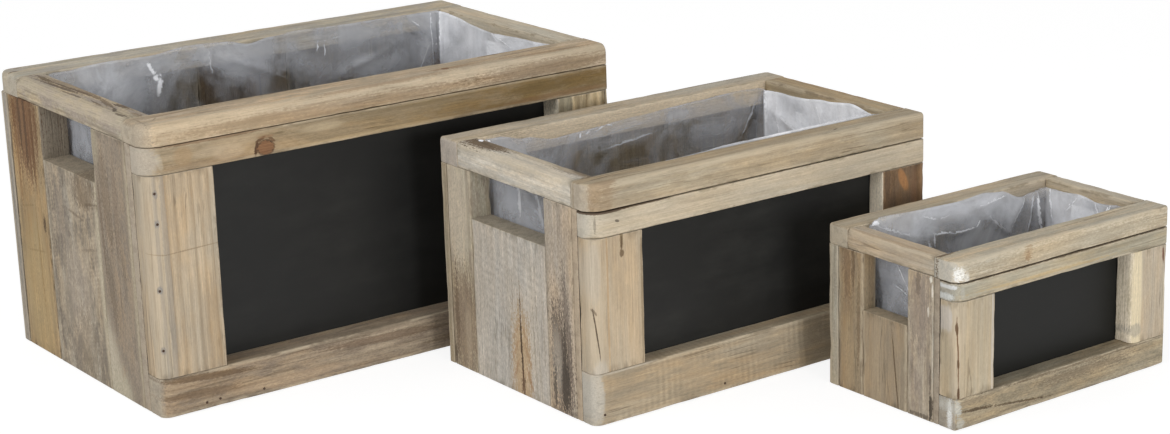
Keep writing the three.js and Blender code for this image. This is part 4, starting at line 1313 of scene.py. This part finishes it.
def addLiner(name):
    values = liners[name]
    low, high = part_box(name + "_liner")
    corner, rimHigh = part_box(name + "_rim_front")
    top, radius, pitch = rimHigh.z, liners["cornerMm"] * mm, liners["pitchMm"] * mm
    total = 2 * (high.x - low.x + high.y - low.y) - 8 * radius + 2 * math.pi * radius
    around = round(total / pitch)
    down = round((high.z - low.z) / pitch)
    foot = low.z + liners["thicknessMm"] * mm
    edgeWaves, floorWaves, clouds, fineClouds = liners["sheetWaves"]
    shift = Vector((0, 0, values["seed"]))
    vertices, layers = [], []
    for j in range(down + 1):
        share = 0.8 * j / down + 0.2 * (j / down) ** 2
        for i in range(around):
            (x, y), inward, wall, toCorner = wallPoint(low, high, radius, i / around)
            along = (x - corner.x if wall in ("front", "back") else y - corner.y) / mm
            drop = edgeDrop(values["edge"][wall], along)
            drop += liners["unevenMm"] * noise.noise(Vector((x, y, 0)) * edgeWaves + shift)
            z = top - drop * mm + (foot - top + drop * mm) * share
            at = Vector((x, y, z))
            offset = filmOffset(values, wall, along, (top - z) / mm, toCorner / mm, at)
            offset = max(offset + liners["clearMm"], liners["clearMm"]) * mm
            toFloor = (z - low.z) / (liners["footMm"] * mm)
            if toFloor < 1:
                offset += (1 - math.sqrt(max(1 - (1 - toFloor) ** 2, 0))) * liners["footInMm"] * mm
            vertices.append((x + inward[0] * offset, y + inward[1] * offset, z))
            cloudy = 0.9 + 0.5 * noise.noise(at * clouds) + 0.25 * noise.noise(at * fineClouds)
            # milky folds, and painted light on the right walls
            milkyAndLit = filmHazeAndLight(values, wall, along, (top - z) / mm)
            layers.append(max(milkyAndLit * cloudy, liners["edgeLayers"] if j == 0 else 0))
    # the floor of the liner: the last ring drawn in to a line along the middle
    centre = (low + high) / 2
    half = 0.5 * ((high.x - low.x) - (high.y - low.y))
    steps, wallRing = liners["floorSteps"], vertices[-around:]
    for step in range(1, steps + 1):
        share = step / steps
        for x, y, z in wallRing:
            targetX = min(max(x, centre.x - half), centre.x + half)
            px, py = x + (targetX - x) * share * 0.98, y + (centre.y - y) * share * 0.98
            wave = noise.noise(Vector((px, py, 0)) * floorWaves + shift)
            wave *= min(1, 4 * (1 - share) + 0.3)
            lift = max(0.6 + 1.2 * wave, 0.2) * mm
            vertices.append((px, py, low.z + lift + (z - low.z) * (1 - share) ** 6))
            layers.append(liners["edgeLayers"])
    faces = bandFaces(0, down + steps, around, turned=True)
    faces.append(tuple(range(len(vertices) - around, len(vertices))))
    mesh = newMesh(name + "_film_liner", vertices, faces, layers=layers)
    mesh.materials.append(polytheneFilm(name, creasePlaces(values, low, high, corner, top)))
    liner = bpy.data.objects.new(name + "_film_liner", mesh)
    shell = liner.modifiers.new("film", "SOLIDIFY")
    shell.thickness = liners["thicknessMm"] * mm
    shell.offset = 0
    ridePiece(liner, name, [name + "_liner"])


for name in planters:
    addLiner(name)
    print(name, "liner folded in")


# Nail heads, as X from the left end and height above the floor. The backs carry two rows of them on every
# board.
nails = {
    "large": ((8, 209), (8.5, 181), (5.5, 120), (4.4, 64.5), (42.6, 6.4), (56, 7), (100.6, 5.7)),
    "medium": ((10, 10), (146, 7)),
    "small": (),
    "headMm": 2.4,
    "proudMm": 0.3,
    "sides": 16,
    "profile": ((1.0, -0.6), (1.0, 0.4), (0.8, 0.85), (0.4, 1.0)),  # shares of the radius and of the height
    "backShares": (0.28, 0.74),  # across each board of the back
    "fromEndMm": 9,
    "strayMm": (3, 2),
    "lean": 0.15,
    "sharpDegrees": 50,
}


def addNails(name):
    corner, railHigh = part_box(name + "_bottom_rail")
    low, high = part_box(name + ("_back_board_1" if name == "large" else "_back_boards"))
    rng = random.Random(len(name) * 7)
    heads = [((corner.x + x * mm, corner.y, z * mm), -1) for x, z in nails[name]]
    boards, fromEnd = planters[name]["backBoards"], nails["fromEndMm"] * mm
    strayX, strayZ = nails["strayMm"]
    for i in range(boards):
        for share in nails["backShares"]:
            for z in (low.z + fromEnd, high.z - fromEnd):
                x = corner.x + (railHigh.x - corner.x) * (i + share) / boards
                x += rng.uniform(-strayX, strayX) * mm
                heads.append(((x, high.y, z + rng.uniform(-strayZ, strayZ) * mm), 1))
    vertices, faces = [], []
    sides, radius = nails["sides"], nails["headMm"] / 2 * mm
    for (x, y, z), out in heads:
        start = len(vertices)
        lean = rng.uniform(-nails["lean"], nails["lean"])
        for size, proud in nails["profile"]:
            for side in range(sides):
                angle = 2 * math.pi * side / sides
                dx, dz = radius * size * math.cos(angle), radius * size * math.sin(angle)
                rise = nails["proudMm"] * mm * proud + lean * dz * 0.3
                vertices.append((x + dx, y + out * rise, z + dz))
        last = len(vertices) - sides
        head = bandFaces(start, len(nails["profile"]) - 1, sides)
        head += [tuple(range(last, last + sides)), tuple(reversed(range(start, start + sides)))]
        faces += head if out < 0 else [face[::-1] for face in head]
    mesh = newMesh(name + "_nail_heads", vertices, faces, nails["sharpDegrees"])
    mesh.materials.append(steel)
    ridePiece(bpy.data.objects.new(name + "_nail_heads", mesh), name, [])


steel = rustedSteel()
for name in planters:
    addNails(name)
print("nails driven")


# Shreds of film caught in the joints at the left: place from the planter's front left corner, half sizes.
shreds = {
    "bands": 8,
    "sides": 14,
    "lumps": (0.45, 2.2),  # how strong, and how many
    "medium": (((19, 196, 221.3), (2.2, 3.0, 0.8)), ((24, 190, 221.2), (1.2, 2.0, 0.6))),
}


def addShreds(name):
    corner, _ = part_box(name + "_rim_front")
    material = polytheneFilm(name + "Shred", ())
    bands, sides = shreds["bands"], shreds["sides"]
    lumpy, lumps = shreds["lumps"]
    vertices, faces = [], []
    for (x, y, z), (halfX, halfY, halfZ) in shreds[name]:
        faces += bandFaces(len(vertices), bands, sides, turned=True)
        middle = Vector((corner.x + x * mm, corner.y + y * mm, z * mm))
        for ring in range(bands + 1):
            tilt = math.pi * ring / bands
            for side in range(sides):
                turn = 2 * math.pi * side / sides
                wide, high = math.sin(tilt), math.cos(tilt)
                out = Vector((wide * math.cos(turn), wide * math.sin(turn), high))
                lump = 1 + lumpy * noise.noise(out * lumps + middle * 900)
                offset = Vector((halfX * out.x, halfY * out.y, halfZ * out.z)) * lump * mm
                vertices.append(middle + offset)
    mesh = newMesh(name + "_film_shreds", vertices, faces, layers=[1.0] * len(vertices))
    mesh.materials.append(material)
    ridePiece(bpy.data.objects.new(name + "_film_shreds", mesh), name, [])


for name in planters:
    if name in shreds:
        addShreds(name)


# A white paper floor in a soft white tent. What the camera sees of the floor is lifted to the white of the
# picture; what the planters see of it is plain paper.
stage = {
    "shownWhite": 0.825,
    "paper": (0.8, 0.26),  # the paper's tone, and the part of it that is left under the shown white
    "tent": 0.54,
    "halfFloor": 12,
    "floorMm": -0.4,
    "lamps": (  # place, size, power: a large one high on the left, and a low one straight in front
        ((-3.2, -0.5, 2.1), 2.5, 64),
        ((-0.15, -4.0, 0.63), 1.4, 80),
    ),
    "aim": (0, 0, 0.1),
}


def seenDirectly(add):
    rays = add("LightPath").outputs
    seen = add("Math MAXIMUM", rays["Is Camera Ray"], rays["Is Glossy Ray"])
    return add("Math MAXIMUM", seen, rays["Is Transmission Ray"])


def addStage():
    paper, add = newMaterial("paperSweep")
    matt, thin = (add("BsdfDiffuse", {"Color": (tone, tone, tone, 1)}) for tone in stage["paper"])
    shown = add("AddShader", {0: thin, 1: add("Emission", {"Strength": stage["shownWhite"]})})
    surface = add("MixShader", {0: seenDirectly(add), 1: matt, 2: shown})
    add("OutputMaterial", {"Surface": surface})
    side = stage["halfFloor"]
    mesh = bpy.data.meshes.new("paper_floor")
    corners = [(-side, -side, 0), (side, -side, 0), (side, side, 0), (-side, side, 0)]
    mesh.from_pydata(corners, [], [(0, 1, 2, 3)])
    mesh.materials.append(paper)
    floor = bpy.data.objects.new("paper_floor", mesh)
    floor.location.z = stage["floorMm"] * mm
    bpy.context.scene.collection.objects.link(floor)

    world = bpy.data.worlds.new("softTent")
    bpy.context.scene.world = world
    world.use_nodes = True
    world.node_tree.nodes.clear()
    add = partial(addNode, world.node_tree)
    level = add("MapRange", {"Value": seenDirectly(add), "To Min": stage["tent"], "To Max": 1.0})
    add("OutputWorld", {"Surface": add("Background", {"Color": (1, 1, 1, 1), "Strength": level})})

    for number, (spot, size, power) in enumerate(stage["lamps"]):
        light = bpy.data.lights.new(f"lamp{number + 1}", "AREA")
        light.shape = "SQUARE"
        light.size = size
        light.energy = power
        lamp = bpy.data.objects.new(light.name, light)
        lamp.location = spot
        lamp.rotation_euler = (Vector(stage["aim"]) - lamp.location).to_track_quat("-Z", "Y").to_euler()
        bpy.context.scene.collection.objects.link(lamp)


addStage()

# The camera, fitted to the corners of the three planters in the photograph, which is 1170 by 434 pixels.
camera = {
    "place": (-1.3112, -1.8728, 0.7974),
    "turn": 39.15,
    "down": 16.29,
    "roll": -0.73,
    "focalPx": 2503.5,
    "centrePx": (750, 217),
    "picturePx": (1170, 434),
    "sensorMm": 36,
    "clip": 50,
}


def addCamera():
    wide, high = camera["picturePx"]
    centreX, centreY = camera["centrePx"]
    data = bpy.data.cameras.new("camera")
    data.sensor_width = camera["sensorMm"]
    data.sensor_fit = "HORIZONTAL"
    data.lens = camera["focalPx"] / wide * data.sensor_width
    data.shift_x = (wide / 2 - centreX) / wide
    data.shift_y = (centreY - high / 2) / wide
    data.clip_end = camera["clip"]
    eye = bpy.data.objects.new("camera", data)
    turn = Matrix.Rotation(-math.radians(camera["turn"]), 4, "Z")
    tilt = Matrix.Rotation(math.radians(90 - camera["down"]), 4, "X")
    roll = Matrix.Rotation(math.radians(camera["roll"]), 4, "Z")
    eye.matrix_world = Matrix.Translation(camera["place"]) @ turn @ tilt @ roll
    bpy.context.scene.collection.objects.link(eye)
    bpy.context.scene.camera = eye


addCamera()
bpy.context.scene.view_settings.view_transform = "Standard"
print("stage and camera set")
